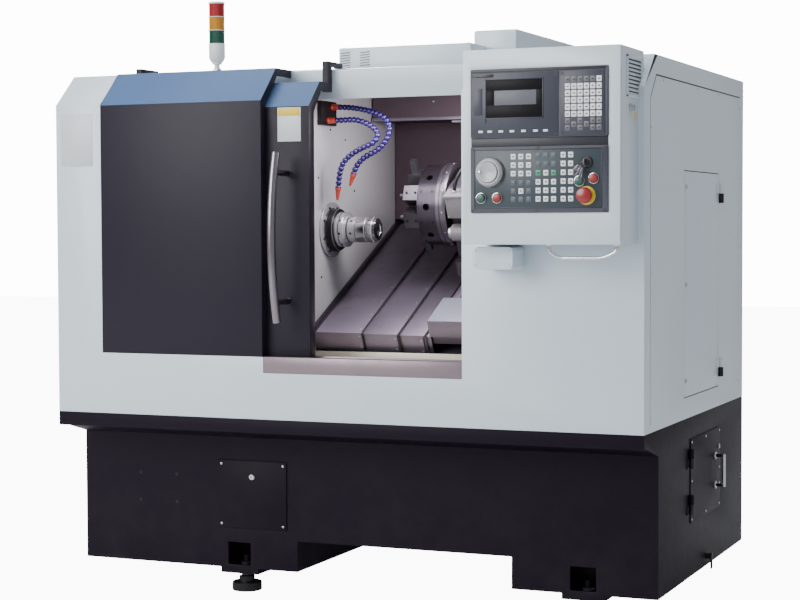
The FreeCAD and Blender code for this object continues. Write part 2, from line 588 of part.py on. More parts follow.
def door_handle():
    half = size("handle_tall") / 2
    middle = size("handle_low") + half
    x, tube = size("handle_place"), size("handle_radius")
    near = size("door_front") - size("handle_stand")
    ends = [FreeCAD.Vector(x, near, middle - half), FreeCAD.Vector(x, near, middle + half)]
    crown = FreeCAD.Vector(x, near - size("handle_bow"), middle)
    path = Part.Wire([Part.Arc(ends[0], crown, ends[1]).toShape()])
    ring = Part.Wire([Part.Circle(ends[0], path.Edges[0].tangentAt(path.Edges[0].FirstParameter),
                                  tube).toShape()])
    bar = path.makePipeShell([ring], True, False)
    parts = [bar]
    arc = path.Edges[0].Curve
    for side in (-1, 1):
        height = middle + side * (half - size("handle_end"))
        depth = arc.Center.y - math.sqrt(arc.Radius ** 2 - (height - arc.Center.z) ** 2)
        post = Part.makeCylinder(9, size("door_front") - depth, FreeCAD.Vector(x, depth, height),
                                 FreeCAD.Vector(0, 1, 0))
        parts.append(post)
    handle = doc.addObject("Part::Feature", "Handle")
    handle.Shape = parts[0].fuse(parts[1:])
    finish("door_handle", handle)


# way covers, carriage, turret

def way_covers():
    ends = ["cover_one_end", "cover_two_end", "cover_three_end", "saddle_left"]
    for index, end in enumerate(ends):
        inset = "cover_step * %d" % index
        top = "cover_top - " + inset
        start = "wall_face + 1" if index == 0 else end + " - cover_length"
        outer = span((start, end), ("cover_low + " + inset, "cover_high - " + inset),
                     (top + " - cover_skirt", top))
        inside = span((start + " - 1", end + " + 1"),
                      ("cover_low + cover_sheet + " + inset, "cover_high - cover_sheet - " + inset),
                      (top + " - cover_skirt - 1", top + " - cover_sheet"))
        shell = cut(outer, inside)
        if index < 3:
            wiper = span((end + " - 6", end),
                         ("cover_low + cover_step + 4 + " + inset,
                          "cover_high - cover_step - 4 - " + inset),
                         (top + " - cover_step + wiper_play", top + " - cover_sheet"))
            shell = fuse(shell, wiper)
        if index == 0:
            strip = span(("wall_face + 1", "wall_face + 13"), ("cover_low", "cover_high"),
                         ("cover_top", "cover_top + 16"))
            shell = fuse(shell, strip)
        finish("way_cover_%d" % (index + 1), shell, slanted=True)


def saddle():
    left, right = "saddle_left", "saddle_right"
    slab = span((left, right), ("saddle_low", "saddle_high"), ("saddle_face - 46", "saddle_face"))
    parts = [slab]
    for low in ("rail_low", "rail_high"):
        for start in (left + " + 10", right + " - 90"):
            parts.append(box(start, low + " - 20", "bed_face + 8", "80", "rail_width + 40",
                             "saddle_face - bed_face - 50"))
    parts.append(span((left, right), ("tray_low", "tray_high"), ("tray_face - skin", "tray_face")))
    parts.append(span((left, right), ("tray_low", "tray_low + skin"), ("saddle_face - 13", "tray_face")))
    parts.append(span((left, left + " + skin"), ("tray_low", "tray_high"),
                      ("saddle_face - 1", "tray_face")))
    parts.append(span((left + " + 60", right), ("tray_low + 50", "tray_high"),
                      ("saddle_face - 1", "tray_face - 1")))
    for start in (left + " + 20", right + " - 105"):
        parts.append(span((start, start + " + 25"), ("tray_high + 20", "saddle_high - 4"),
                          ("saddle_face - 1", "saddle_face + rail_height")))
    channels = [box(left + " - 1", low + " - rail_play", "bed_face - 1", right + " - " + left + " + 2",
                    "rail_width + 2 * rail_play", "rail_height + 1 + rail_play") for low in ("rail_low", "rail_high")]
    finish("saddle", cut(fuse(*parts), *channels), slanted=True)


def cross_slide():
    left = "saddle_left"
    slab = span((left + " - 8", "saddle_right - 70"), ("slide_low", "slide_high"),
                ("saddle_face + rail_height + 4", "slide_face"))
    parts = [slab]
    channels = []
    for start in (left + " + 20", "saddle_right - 105"):
        parts.append(span((start + " - 12", start + " + 37"), ("slide_low", "slide_high"),
                          ("saddle_face + 6", "slide_face - 10")))
        channels.append(span((start + " - rail_play", start + " + 25 + rail_play"),
                             ("slide_low - 1", "slide_high + 1"),
                             ("saddle_face", "saddle_face + rail_height + rail_play")))
    finish("cross_slide", cut(fuse(*parts), *channels), slanted=True)
    body = rounded(span(("ring_right + 8", "turret_back"), ("turret_low", "turret_high"),
                        ("slide_face", "turret_top")),
                   18, FreeCAD.Vector(1, 0, 0))
    bore = rod("X", "disc_shaft + shaft_play", "26", "ring_right + 7", "turret_slope", "spindle_rise")
    finish("turret_housing", cut(body, bore), slanted=True)


def around_disc(shape, turn):
    """Turns a piece that is drawn along +Y about the turret's axis."""
    shape.Placement = FreeCAD.Placement(FreeCAD.Vector(), FreeCAD.Rotation(FreeCAD.Vector(1, 0, 0), turn))
    return place(shape, "0", "turret_slope", "spindle_rise")


def turret():
    centre = ("turret_slope", "spindle_rise")
    disc = fuse(rod("X", "disc_radius", "disc_right - disc_left", "disc_left", *centre),
                rod("X", "index_radius", "ring_right - disc_right", "disc_right", *centre),
                rod("X", "disc_shaft", "28", "ring_right", *centre))
    holes = []
    for station in range(8):
        bore = rod("Y", "11", "60", "(disc_left + disc_right) / 2", "disc_radius - 40", "0")
        holes.append(around_disc(group(bore), 22.5 + 45 * station))
    finish("turret_disc", cut(disc, *holes), slanted=True)
    pieces = []
    for turn, kind in ((180, "bar"), (135, "bar"), (90, "blade"), (0, "bar"), (-90, "blade")):
        block = span(("disc_left - holder_length", "disc_left"), ("holder_inner", "holder_outer"),
                     ("-holder_width / 2", "holder_width / 2"))
        if kind == "bar":
            tool = rod("X", "tool_size / 2", "holder_length + 20", "disc_left - holder_length - 20",
                       "(holder_inner + holder_outer) / 2", "0")
        else:
            tool = span(("disc_left - holder_length + 8", "disc_left - holder_length + 8 + tool_size"),
                        ("holder_outer - 1", "holder_outer + 44"), ("-tool_size / 2", "tool_size / 2"))
        pieces.append(around_disc(group(fuse(block, tool)), turn))
    finish("tool_holders", group(*pieces), slanted=True)


# coolant hoses

def rounded_path(points):
    """Straight runs joined by tangent arcs, as large as the runs allow."""
    edges = []
    last = points[0]
    for before, corner, after in zip(points, points[1:], points[2:]):
        inward = (corner - before).normalize()
        outward = (after - corner).normalize()
        half = inward.getAngle(outward) / 2
        reach = 0.45 * min((corner - before).Length, (after - corner).Length)
        start, end = corner - inward * reach, corner + outward * reach
        radius = reach / math.tan(half)
        middle = corner + (outward - inward).normalize() * (radius / math.cos(half) - radius)
        edges += [Part.LineSegment(last, start).toShape(), Part.Arc(start, middle, end).toShape()]
        last = end
    edges.append(Part.LineSegment(last, points[-1]).toShape())
    return Part.Wire(edges)


def coolant_hoses():
    finish("hose_block",
           span(("wall_face", "wall_face + hose_block_thick"), ("hose_block_front", "hose_block_back"),
                              ("hose_block_low", "hose_block_high")))
    tubes = []
    routes = (((816, 355, 1556), (866, 355, 1556), (930, 348, 1546), (990, 340, 1530), (1026, 335, 1502),
               (1026, 332, 1458), (992, 330, 1416), (942, 328, 1394), (912, 327, 1366), (904, 326, 1340)),
              ((816, 325, 1512), (866, 325, 1512), (918, 323, 1513), (966, 320, 1495), (998, 316, 1467),
               (984, 311, 1437), (936, 308, 1419), (890, 305, 1392), (865, 303, 1354), (861, 302, 1296)))
    for route in routes:
        points = [FreeCAD.Vector(*point) for point in route]
        path = rounded_path(points)
        heading = (points[1] - points[0]).normalize()
        ring = Part.Wire([Part.Circle(points[0], heading, SIZES["hose_radius"]).toShape()])
        tube = path.makePipeShell([ring], True, False)
        down = (points[-1] - points[-2]).normalize()
        tip = Part.makeCone(SIZES["hose_radius"], SIZES["nozzle_radius"], SIZES["nozzle_length"],
                            points[-1], down)
        tubes.append(tube.fuse(tip))
    hoses = doc.addObject("Part::Feature", "Hoses")
    hoses.Shape = Part.makeCompound(tubes)
    finish("coolant_hoses", hoses)


# control box

def control_box():
    outline = [("-box_reach", "box_bottom"), ("-box_reach", "roof_top + box_rise"),
               ("box_roof", "roof_top + box_rise"),
               ("box_roof", "break_top + box_roof * (roof_top - break_top) / chamfer_depth"),
               ("0", "break_top"), ("0", "box_bottom")]
    outer = along_x(outline, "box_left", "box_right")
    inner = span(("box_left + skin", "box_right - skin"), ("-box_reach + skin", "-skin"),
                 ("box_bottom + skin", "roof_top + box_rise - skin"))
    windows = [span(("unit_left - panel_play", "unit_right + panel_play"),
                    ("-box_reach - 1", "-box_reach + skin + 1"),
                    (low + " - panel_play", high + " + panel_play"))
               for low, high in (("unit_bottom", "unit_top"), ("keys_bottom", "keys_top"))]
    slots = [span(("box_right - skin - 1", "box_right + 1"), ("louvre_front", "louvre_back"),
                  ("louvre_low + %d * louvre_step" % step,
                   "louvre_low + %d * louvre_step + louvre_tall" % step)) for step in range(10)]
    finish("control_box", cut(outer, inner, *windows, *slots))


def control_units():
    front = "-box_reach - panel_proud"
    unit = rounded(span(("unit_left", "unit_right"), (front, front + " + unit_depth"),
                        ("unit_bottom", "unit_top")),
                   4, FreeCAD.Vector(0, 1, 0))
    glass = span(("unit_left + 70", "unit_left + 195"), (front + " - 1", front + " + 1.5"),
                 ("unit_bottom + 86", "unit_bottom + 134"))
    finish("cnc_unit", cut(unit, glass))
    panel = rounded(span(("unit_left", "unit_right"), (front, front + " + 30"),
                         ("keys_bottom", "keys_top")),
                    4, FreeCAD.Vector(0, 1, 0))
    holes = [rod("Y", radius, "60", x, front + " - 5", z) for x, z, radius in button_places()]
    finish("operator_panel", cut(panel, *holes))


def button_places():
    """Where the operator panel is bored: across, up and the bore's radius."""
    stem = "button_radius - 4 + button_play"
    return [("unit_left + 32", "keys_bottom + 41", stem), ("unit_left + 80", "keys_bottom + 41", stem),
            ("unit_left + 320", "keys_bottom + 86", stem), ("unit_left + 361", "keys_bottom + 93", stem),
            ("unit_left + 340", "keys_bottom + 46", stem), ("unit_left + 58", "keys_bottom + 113", "12.05"),
            ("unit_left + 341", "keys_bottom + 138", "8.05")]


def buttons():
    front = "-box_reach - panel_proud"
    places = button_places()
    for name, (x, z, _) in zip(("start_button", "hold_button", "power_on_button", "power_off_button"),
                               places):
        cap = rod("Y", "button_radius", "button_proud - 5", x, front + " - button_proud", z)
        stem = rod("Y", "button_radius - 4", "40", x, front + " - button_proud + 5", z)
        finish(name, fuse(cap, stem))
    x, z, _ = places[4]
    finish("emergency_stop", fuse(rod("Y", "stop_radius", "18", x, front + " - stop_proud", z),
                                  rod("Y", "button_radius - 4", "56", x, front + " - stop_proud + 17", z)))
    x, z, _ = places[5]
    wheel = fuse(rod("Y", "wheel_radius", "14", x, front + " - 20", z),
                 rod("Y", "30", "5", x, front + " - 25", z),
                 rod("Y", "12", "50", x, front + " - 7", z),
                 rod("Y", "5", "8", x + " - 24", front + " - 32", z))
    finish("handwheel", wheel)
    x, z, _ = places[6]
    key = fuse(rod("Y", "8", "34", x, front + " - 8", z), rod("Y", "13", "6", x, front + " - 8", z),
               span((x + " - 1.5", x + " + 1.5"), (front + " - 30", front + " - 7"),
                    (z + " - 11", z + " + 9")))
    finish("key_switch", key)


def box_fittings():
    radius = 6
    x_left, x_right, top = size("box_handle_left"), size("box_handle_right"), size("box_bottom")
    route = [FreeCAD.Vector(x, -size("box_handle_reach"), z) for x,
             z in ((x_left, top), (x_left, top - 20), (x_left + 28, top - 38),
                                                     (x_right - 38,
                                                      top - 38), (x_right, top - 20), (x_right, top))]
    ring = Part.Wire([Part.Circle(route[0], FreeCAD.Vector(0, 0, -1), radius).toShape()])
    handle = doc.addObject("Part::Feature", "Rail")
    handle.Shape = rounded_path(route).makePipeShell([ring], True, False)
    finish("box_handle", handle)
    finish("cable_box",
           rounded(span(("box_left + 3", "box_left + 123"), ("cable_box_front", "0"),
                       ("cable_box_low", "cable_box_high")), 14,
                                FreeCAD.Vector(0, 1, 0)))


# right side doors, tower light

def side_doors():
    face = "housing_width"
    pins = []
    leaf = span((face + " - skin", face), ("side_door_front", "side_door_back"),
                ("side_door_bottom", "side_door_top"))
    knuckles, gaps = [], []
    axis = ("housing_width + hinge_radius", "side_door_back + door_gap + 4")
    for low in ("side_door_bottom + 30", "side_door_top - 93"):
        knuckles.append(rod("Z", "hinge_radius", "29", *axis, low + " + 31"))
        knuckles.append(span((face, face + " + 4"),
                             ("side_door_back - 36",
                              "side_door_back + door_gap + 4"), (low + " + 31", low + " + 60")))
        gaps.append(rod("Z", "pin_radius + pin_play", "80", *axis, low + " - 5"))
        pins.append(fuse(rod("Z", "hinge_radius", "30", *axis, low),
                         rod("Z", "pin_radius", "58", *axis, low + " + 1"),
                         span((face, face + " + 4"),
                              ("side_door_back + door_gap + 4", "side_door_back + 44"),
                              (low, low + " + 30"))))
    finish("side_door", cut(fuse(leaf, *knuckles), *gaps))
    lid = span((face, face + " + skin"), ("base_door_front", "base_door_back"),
               ("base_door_bottom", "base_door_top"))
    grip = fuse(rod("Z", "6.5", "108", "housing_width + 32", "base_door_back - 72", "base_door_top - 190"),
                *[rod("X", "5", "31", "housing_width + 1", "base_door_back - 72", height)
                  for height in ("base_door_top - 184", "base_door_top - 88")])
    knuckles, gaps = [], []
    axis = ("housing_width + hinge_radius", "base_door_front - 10")
    for low in ("base_door_bottom + 30", "base_door_top - 90"):
        knuckles.append(rod("Z", "hinge_radius", "29", *axis, low + " + 31"))
        knuckles.append(span((face, face + " + 3"), ("base_door_front - 10", "base_door_front + 30"),
                             (low + " + 31", low + " + 60")))
        gaps.append(rod("Z", "pin_radius + pin_play", "80", *axis, low + " - 5"))
        pins.append(fuse(rod("Z", "hinge_radius", "30", *axis, low),
                         rod("Z", "pin_radius", "58", *axis, low + " + 1"),
                         span((face, face + " + 3"), ("base_door_front - 40", "base_door_front - 10"),
                              (low, low + " + 30"))))
    finish("base_door", cut(fuse(lid, grip, *knuckles), *gaps))
    finish("door_hinges", group(*pins))
    key = fuse(rod("X", "11", "14", "box_right", "box_key_back", "box_key_high"),
               span(("box_right + 13", "box_right + 16"), ("box_key_back - 6", "box_key_back + 6"),
                    ("box_key_high - 38", "box_key_high + 12")))
    finish("box_key", key)
    finish("drain_valve",
           fuse(rod("X", "9", "16", "housing_width", "drain_back", "drain_high"),
                span(("housing_width + 15", "housing_width + 20"), ("drain_back - 6", "drain_back + 6"),
                     ("drain_high - 40", "drain_high + 12"))))


def tower_light():
    centre = ("tower_place", "tower_back")
    base = fuse(rod("Z", "34", "6", *centre, "roof_top"), rod("Z", "11", "50", *centre, "roof_top + 2"),
                rod("Z", "lens_radius", "60", *centre, "roof_top + 50"),
                rod("Z", "12", "140", *centre, "roof_top + 100"))
    finish("tower_base", base)
    lenses = []
    for step in range(3):
        low = "roof_top + 110.5 + %d" % (44 * step)
        lenses.append(cut(rod("Z", "lens_radius - 1", "42", *centre, low),
                          rod("Z", "12", "44", *centre, low + " - 1")))
    finish("tower_lenses", group(*lenses))
    finish("tower_cap", rod("Z", "lens_radius", "8", *centre, "roof_top + 240.5"))


base_frame()
levelling_feet()
access_plate()
coolant_tank()
bed_casting()
headstock()
spindle()
drive()
drive_belt()
front_panel()
side_panels()
roof()
outer_cover()
door_sill()
door_rail()
inner_walls()
roof_boxes()
sliding_door()
door_handle()
way_covers()
saddle()
cross_slide()
turret()
coolant_hoses()
control_box()
control_units()
buttons()
box_fittings()
side_doors()
tower_light()

doc.recompute()
faults = [item.Label for item in doc.Objects if "Invalid" in item.State or "Error" in item.State]
faults += [item.Label for item in nodes if item.Shape.isNull() or not item.Shape.isValid()]
if faults:
    raise SystemExit("faulty: " + ", ".join(faults))
for item in nodes:
    item.Shape.exportStep("parts/%s.step" % item.Label)
print(len(nodes), "parts written")
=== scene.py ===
import json
import math

import bmesh
import bpy
from mathutils import Matrix, Vector

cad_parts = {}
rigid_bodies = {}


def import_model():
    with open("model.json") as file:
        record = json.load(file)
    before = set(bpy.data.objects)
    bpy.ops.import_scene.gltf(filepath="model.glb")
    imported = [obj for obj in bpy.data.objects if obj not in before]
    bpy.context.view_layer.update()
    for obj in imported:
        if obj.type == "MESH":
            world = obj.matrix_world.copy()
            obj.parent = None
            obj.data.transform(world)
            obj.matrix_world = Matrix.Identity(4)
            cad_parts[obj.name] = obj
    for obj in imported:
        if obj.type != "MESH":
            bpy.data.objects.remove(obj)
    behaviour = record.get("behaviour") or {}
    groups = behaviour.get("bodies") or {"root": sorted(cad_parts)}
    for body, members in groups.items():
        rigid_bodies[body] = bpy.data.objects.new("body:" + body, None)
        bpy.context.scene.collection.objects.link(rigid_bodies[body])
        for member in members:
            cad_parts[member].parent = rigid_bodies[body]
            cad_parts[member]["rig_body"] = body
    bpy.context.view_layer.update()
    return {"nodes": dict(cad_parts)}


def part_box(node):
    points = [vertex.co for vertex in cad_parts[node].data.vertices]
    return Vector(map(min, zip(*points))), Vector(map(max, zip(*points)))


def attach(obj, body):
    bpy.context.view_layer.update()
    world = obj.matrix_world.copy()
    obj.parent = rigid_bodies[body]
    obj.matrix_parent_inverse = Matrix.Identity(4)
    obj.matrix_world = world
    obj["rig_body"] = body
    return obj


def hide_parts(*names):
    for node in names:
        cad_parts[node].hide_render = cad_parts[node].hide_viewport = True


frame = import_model()
print("frame loaded")

# Places are given in millimetres from the floor, to the right of the left panel and back from the front panel.
corner = Vector((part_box("left_panel")[0].x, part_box("front_panel")[0].y, 0))
bedSlope = math.radians(26)


def at(x, y, z):
    return corner + Vector((x, y, z)) / 1000


def onBed(x, u, n):
    # u runs up the slant bed, n square to it
    return at(x, u * math.cos(bedSlope) - n * math.sin(bedSlope),
              u * math.sin(bedSlope) + n * math.cos(bedSlope))


upSlope = Vector((0, math.cos(bedSlope), math.sin(bedSlope)))
offSlope = Vector((0, -math.sin(bedSlope), math.cos(bedSlope)))


# node trees written as expressions

class Wire:
    def __init__(self, graph, socket):
        self.graph = graph
        self.socket = socket

    def maths(self, operation, *values):
        return self.graph.node("ShaderNodeMath", {"operation": operation}, dict(enumerate(values)))

    def __add__(self, other):
        return self.maths("ADD", self, other)

    def __sub__(self, other):
        return self.maths("SUBTRACT", self, other)

    def __mul__(self, other):
        return self.maths("MULTIPLY", self, other)

    def part(self, name):
        return Wire(self.graph, self.socket.node.outputs[name])

    __radd__ = __add__
    __rmul__ = __mul__


class Graph:
    def __init__(self, tree):
        self.tree = tree

    def node(self, kind, settings=None, sockets=None, output=0):
        made = self.tree.nodes.new(kind)
        for key, value in (settings or {}).items():
            setattr(made, key, value)
        for key, value in (sockets or {}).items():
            if isinstance(key, int):
                socket = made.inputs[key]
            else:
                socket = next(s for s in made.inputs if s.enabled and key in (s.name, s.identifier))
            if isinstance(value, Wire):
                self.tree.links.new(value.socket, socket)
            else:
                socket.default_value = value
        found = made.outputs[output] if isinstance(output, int) else next(
            s for s in made.outputs if s.enabled and s.name == output)
        return Wire(self, found)

    def show(self, surface, kind):
        out = self.tree.nodes.new(kind)
        self.tree.links.new(surface.socket, out.inputs["Surface"])


def tint(code):
    # screen colour such as "cbd5db" to linear light
    parts = [int(code[i:i + 2], 16) / 255 for i in (0, 2, 4)]
    return tuple(c / 12.92 if c <= 0.04045 else ((c + 0.055) / 1.055) ** 2.4 for c in parts) + (1,)


class Finish(Graph):
    def __init__(self, name):
        self.material = bpy.data.materials.new(name)
        self.material.use_nodes = True
        super().__init__(self.material.node_tree)
        self.tree.nodes.clear()
        self.place = self.node("ShaderNodeTexCoord", {}, {}, "Object")

    def spread(self, stretch, turn):
        return self.node("ShaderNodeMapping", {"vector_type": "POINT"},
                         {"Vector": self.place, "Scale": stretch, "Rotation": turn})

    def noise(self, scale, detail=3, roughness=0.5, stretch=None, turn=(0, 0, 0)):
        where = self.place if stretch is None else self.spread(stretch, turn)
        return self.node("ShaderNodeTexNoise", {"noise_dimensions": "3D"},
                         {"Vector": where, "Scale": scale, "Detail": detail, "Roughness": roughness}, "Fac")

    def axis(self, letter):
        return self.node("ShaderNodeSeparateXYZ", {}, {0: self.place}, letter)

    def mix(self, factor, low, high):
        return self.node("ShaderNodeMix", {"data_type": "RGBA"},
                         {"Factor": factor, "A": low, "B": high}, "Result")

    def fade(self, value, low, high):
        return self.node("ShaderNodeMapRange", {"interpolation_type": "SMOOTHSTEP"},
                         {"Value": value, "From Min": low, "From Max": high, "To Min": 0.0, "To Max": 1.0})

    def bump(self, height, strength, distance, below=None):
        sockets = {"Height": height, "Strength": strength, "Distance": distance}
        if below is not None:
            sockets["Normal"] = below
        return self.node("ShaderNodeBump", {}, sockets)

    def close(self, colour, roughness, metallic=0.0, normal=None, **fixed):
        sockets = {"Base Color": colour, "Roughness": roughness, "Metallic": metallic}
        if normal is not None:
            sockets["Normal"] = normal
        sockets.update({key.replace("_", " "): value for key, value in fixed.items()})
        self.show(self.node("ShaderNodeBsdfPrincipled", {}, sockets), "ShaderNodeOutputMaterial")
        return self.material


# finishes

def sprayedPaint(name, colour, shade, roughness, grain=0.25, dirt=0.1, paintedReflectionColour=None, shine=0.5, coat=0.25):
    # sprayed and baked enamel: fine orange peel, faint clouding, dust low down, and an optional painted
    # reflection that makes faces turned upwards bluish
    f = Finish(name)
    cloud = f.noise(2.3, 2)
    mottle = f.noise(34, 4, 0.6)
    body = f.mix(cloud * 0.55 + mottle * 0.35, tint(colour), tint(shade))
    # painted reflection: faces turned upwards blend towards a bluish colour that stands for the overhead light
    # reflected in the slopes
    if paintedReflectionColour:
        tilt = f.node("ShaderNodeTexCoord", {}, {}, "Normal")
        up = f.node("ShaderNodeSeparateXYZ", {}, {0: tilt}, "Z")
        body = f.mix(f.fade(up, 0.3, 0.6), body, tint(paintedReflectionColour))
    dust = f.fade(f.axis("Z"), 0.62, 0.0) * f.fade(f.noise(7, 5, 0.65), 0.35, 0.7) * dirt
    body = f.mix(dust, body, tint("8b857c"))
    peel = f.noise(420, 2, 0.5)
    normal = f.bump(peel, grain, 0.0006, f.bump(f.noise(9, 2), 0.08, 0.01))
    gloss = mottle * 0.08 + dust * 0.4 + (roughness - 0.04)
    return f.close(body, gloss, 0.0, normal, Specular_IOR_Level=shine, Coat_Weight=coat, Coat_Roughness=0.12)


def rolledSteel(name, colour, shade, roughness,
                stretch, turn=(0, 0, 0), metallic=0.85, scratch=0.25, stain=0.35):
    # sheet or ground steel: long fine lines, stains of dried coolant
    f = Finish(name)
    lines = f.noise(60, 3, 0.6, stretch, turn)
    blot = f.noise(5.5, 4, 0.6)
    body = f.mix(lines * 0.7 + blot * 0.3, tint(colour), tint(shade))
    film = f.fade(f.noise(14, 5, 0.65), 0.5, 0.68) * stain
    body = f.mix(film, body, tint("6b5a4c"))
    normal = f.bump(lines, scratch, 0.0004)
    return f.close(body, lines * 0.14 + film * 0.25 + (roughness - 0.06), metallic, normal)


def mouldedPlastic(name, colour, roughness, grain=0.2, coat=0.0, **fixed):
    f = Finish(name)
    wear = f.noise(60, 4, 0.6)
    base = tint(colour)
    dull = tuple(0.8 * c for c in base[:3]) + (1,)
    body = f.mix(wear * 0.5, base, dull)
    normal = f.bump(f.noise(1500, 2), grain, 0.0002)
    return f.close(body, wear * 0.1 + (roughness - 0.05), 0.0, normal, Coat_Weight=coat, **fixed)


def polishedMetal(name, colour, roughness):
    f = Finish(name)
    haze = f.noise(90, 4, 0.65)
    streak = f.noise(25, 3, 0.6, (1, 1, 14))
    body = f.mix(haze, tint(colour), tint("c9c9cc"))
    return f.close(body, haze * 0.08 + streak * 0.05 + roughness, 1.0, f.bump(streak, 0.05, 0.0003))


def clearGlass(name, colour, cover):
    # laminated safety glass: faint tint, smears in the gloss
    f = Finish(name)
    smear = f.noise(11, 4, 0.6, (1, 1, 3))
    return f.close(tint(colour), smear * 0.08 + 0.03, 0.0, None, Alpha=cover, Specular_IOR_Level=0.8)


def lensPlastic(name, colour, glow):
    # clear coloured dome with the lamp off; a faint emission is a painted glow that stands for a little light
    # held in the ribs
    f = Finish(name)
    depth = f.noise(45, 3)
    body = f.mix(depth * 0.6, tint(colour), tuple(0.45 * c for c in tint(colour)[:3]) + (1,))
    # painted glow: the emission lights the lens although its lamp is off
    return f.close(body, depth * 0.06 + 0.14, 0.0, None, Coat_Weight=0.1, Coat_Roughness=0.05,
                   Emission_Color=tint(colour), Emission_Strength=glow, Specular_IOR_Level=0.25)


paint = {
    "white": sprayedPaint("whiteEnamel", "cad6de", "bfccd6", 0.36),
    # the graphite's bluish colour on upward faces is a painted reflection of the light from above
    "graphite": sprayedPaint("graphiteEnamel", "201b27", "1b1621", 0.42, 0.35, 0.03, "476188", 0.2, 0.0),
    "base": sprayedPaint("baseEnamel", "150b1b", "100814", 0.5, 0.45, 0.02, None, 0.12, 0.0),
    "interior": sprayedPaint("interiorEnamel", "b7b5ba", "a9a6ac", 0.4, 0.25, 0.0),
    "tray": sprayedPaint("trayEnamel", "d8d2c2", "c6bfb0", 0.42, 0.25, 0.0),
    "cavity": sprayedPaint("cavityEnamel", "54464e", "43373f", 0.5, 0.3, 0.0, None, 0.15, 0.0),
    "casting": sprayedPaint("castingEnamel", "3d3742", "312b35", 0.42, 0.5, 0.0, None, 0.4, 0.1),
}
metal = {
    "sill": rolledSteel("sillSteel", "8d8086", "75696f", 0.36, (1, 30, 30), metallic=0.7, stain=0.15),
    "cover": rolledSteel("coverSteel", "94899a", "756b7a", 0.38, (30, 1, 6), (bedSlope, 0, 0), 0.75, stain=0.2),
    "ground": rolledSteel("groundSteel", "a9a8ac", "858489", 0.2, (20, 20, 1), stain=0.05),
    "bright": rolledSteel("brightSteel", "d3d2d6", "a9a8ad", 0.24, (20, 20, 1), metallic=0.6, scratch=0.12,
                          stain=0.0),
    "castIron": rolledSteel("castIronOiled", "5d5660", "453f48", 0.42, (2, 2, 2), metallic=0.6, scratch=0.4),
    "turret": rolledSteel("turretSteel", "4f4852", "38323c", 0.32, (3, 3, 3), metallic=0.85, stain=0.1),
    "holder": rolledSteel("holderSteel", "6f6a73", "4f4a52", 0.3, (3, 3, 3), metallic=0.85, stain=0.1),
    "tray": rolledSteel("traySteel", "b4b6c6", "9d9fae", 0.36, (3, 3, 3), metallic=0.4, stain=0.05),
    "handle": rolledSteel("handleSteel", "8f888f", "7b757b", 0.22, (24, 24, 1), metallic=1.0, stain=0.0),
    "chrome": polishedMetal("chrome", "d6d6d9", 0.09),
    "zinc": polishedMetal("zincPlate", "a9aaad", 0.28),
    "blackOxide": rolledSteel("blackOxide", "2f2c30", "242125", 0.36, (3, 3, 3), metallic=0.7, stain=0.1),
}
plastic = {
    "panel": mouldedPlastic("panelPlastic", "2c2f3d", 0.42, 0.3),
    "panelDark": mouldedPlastic("panelDarkPlastic", "1c1e29", 0.44, 0.3),
    "film": mouldedPlastic("keyFilm", "28363d", 0.4, 0.1),
    "black": mouldedPlastic("blackPlastic", "1a181c", 0.4),
    "rubber": mouldedPlastic("sealRubber", "1a191b", 0.62, 0.5),
    "keyWhite": mouldedPlastic("keyWhite", "dfe2e4", 0.4, 0.1),
    "keyGrey": mouldedPlastic("keyGrey", "595b60", 0.4, 0.1),
    "keyDark": mouldedPlastic("keyDark", "4a545d", 0.42, 0.1),
    "keyGreen": mouldedPlastic("keyGreen", "3f8a69", 0.38, 0.1),
    "hose": mouldedPlastic("hoseBlue", "24105c", 0.28, 0.1, 0.2),
    "hoseOrange": mouldedPlastic("hoseOrange", "b53a25", 0.34, 0.1, 0.3),
    "red": mouldedPlastic("buttonRed", "8c0d17", 0.3, 0.05, 0.3),
    "green": mouldedPlastic("buttonGreen", "0f4c3b", 0.3, 0.05, 0.3),
    "yellow": mouldedPlastic("stopYellow", "d8b81f", 0.4, 0.1),
    "cream": mouldedPlastic("creamPlastic", "817c80", 0.4, 0.1),
    "plate": mouldedPlastic("blankPlate", "c3c9cd", 0.36, 0.05),
    "screenFrame": mouldedPlastic("screenFrame", "120f14", 0.42, 0.03, Specular_IOR_Level=0.12),
    "screen": mouldedPlastic("screenGlass", "64646b", 0.36, 0.01, Specular_IOR_Level=0.2),
    "knob": mouldedPlastic("knobSilver", "adafb3", 0.28, 0.1, 0.2),
    "lamp": mouldedPlastic("lampWhite", "e4e6e6", 0.34, 0.1),
}
lens = {
    "red": lensPlastic("lensRed", "9d0a10", 0.02),
    "amber": lensPlastic("lensAmber", "bf7e06", 0.02),
    "green": lensPlastic("lensGreen", "054a36", 0.02),
}
glass = clearGlass("safetyGlass", "9fb0b4", 0.28)
print("finishes made")


# meshes

def stand(name, data):
    made = bpy.data.objects.new(name, data)
    bpy.context.scene.collection.objects.link(made)
    return made


def place(name, mesh, body):
    made = stand(name, mesh)
    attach(made, body)
    return made


def bentLine(name, points, fineness):
    # a smooth curve drawn near its points, from the first to the last
    data = bpy.data.curves.new(name, "CURVE")
    data.dimensions = "3D"
    line = data.splines.new("NURBS")
    line.points.add(len(points) - 1)
    for spot, point in zip(line.points, points):
        spot.co = (*point, 1)
    line.order_u = 3
    line.use_endpoint_u = True
    line.resolution_u = fineness
    return data


def settle(made):
    # turns what the node tree makes into the piece's own plain mesh
    graph = bpy.context.evaluated_depsgraph_get()
    graph.update()
    plain = bpy.data.meshes.new_from_object(made.evaluated_get(graph),
                                            preserve_all_data_layers=True, depsgraph=graph)
    made.modifiers.clear()
    made.data = plain


def smooth(mesh, angle):
    mesh.shade_smooth()
    mesh.set_sharp_from_angle(angle=math.radians(angle))


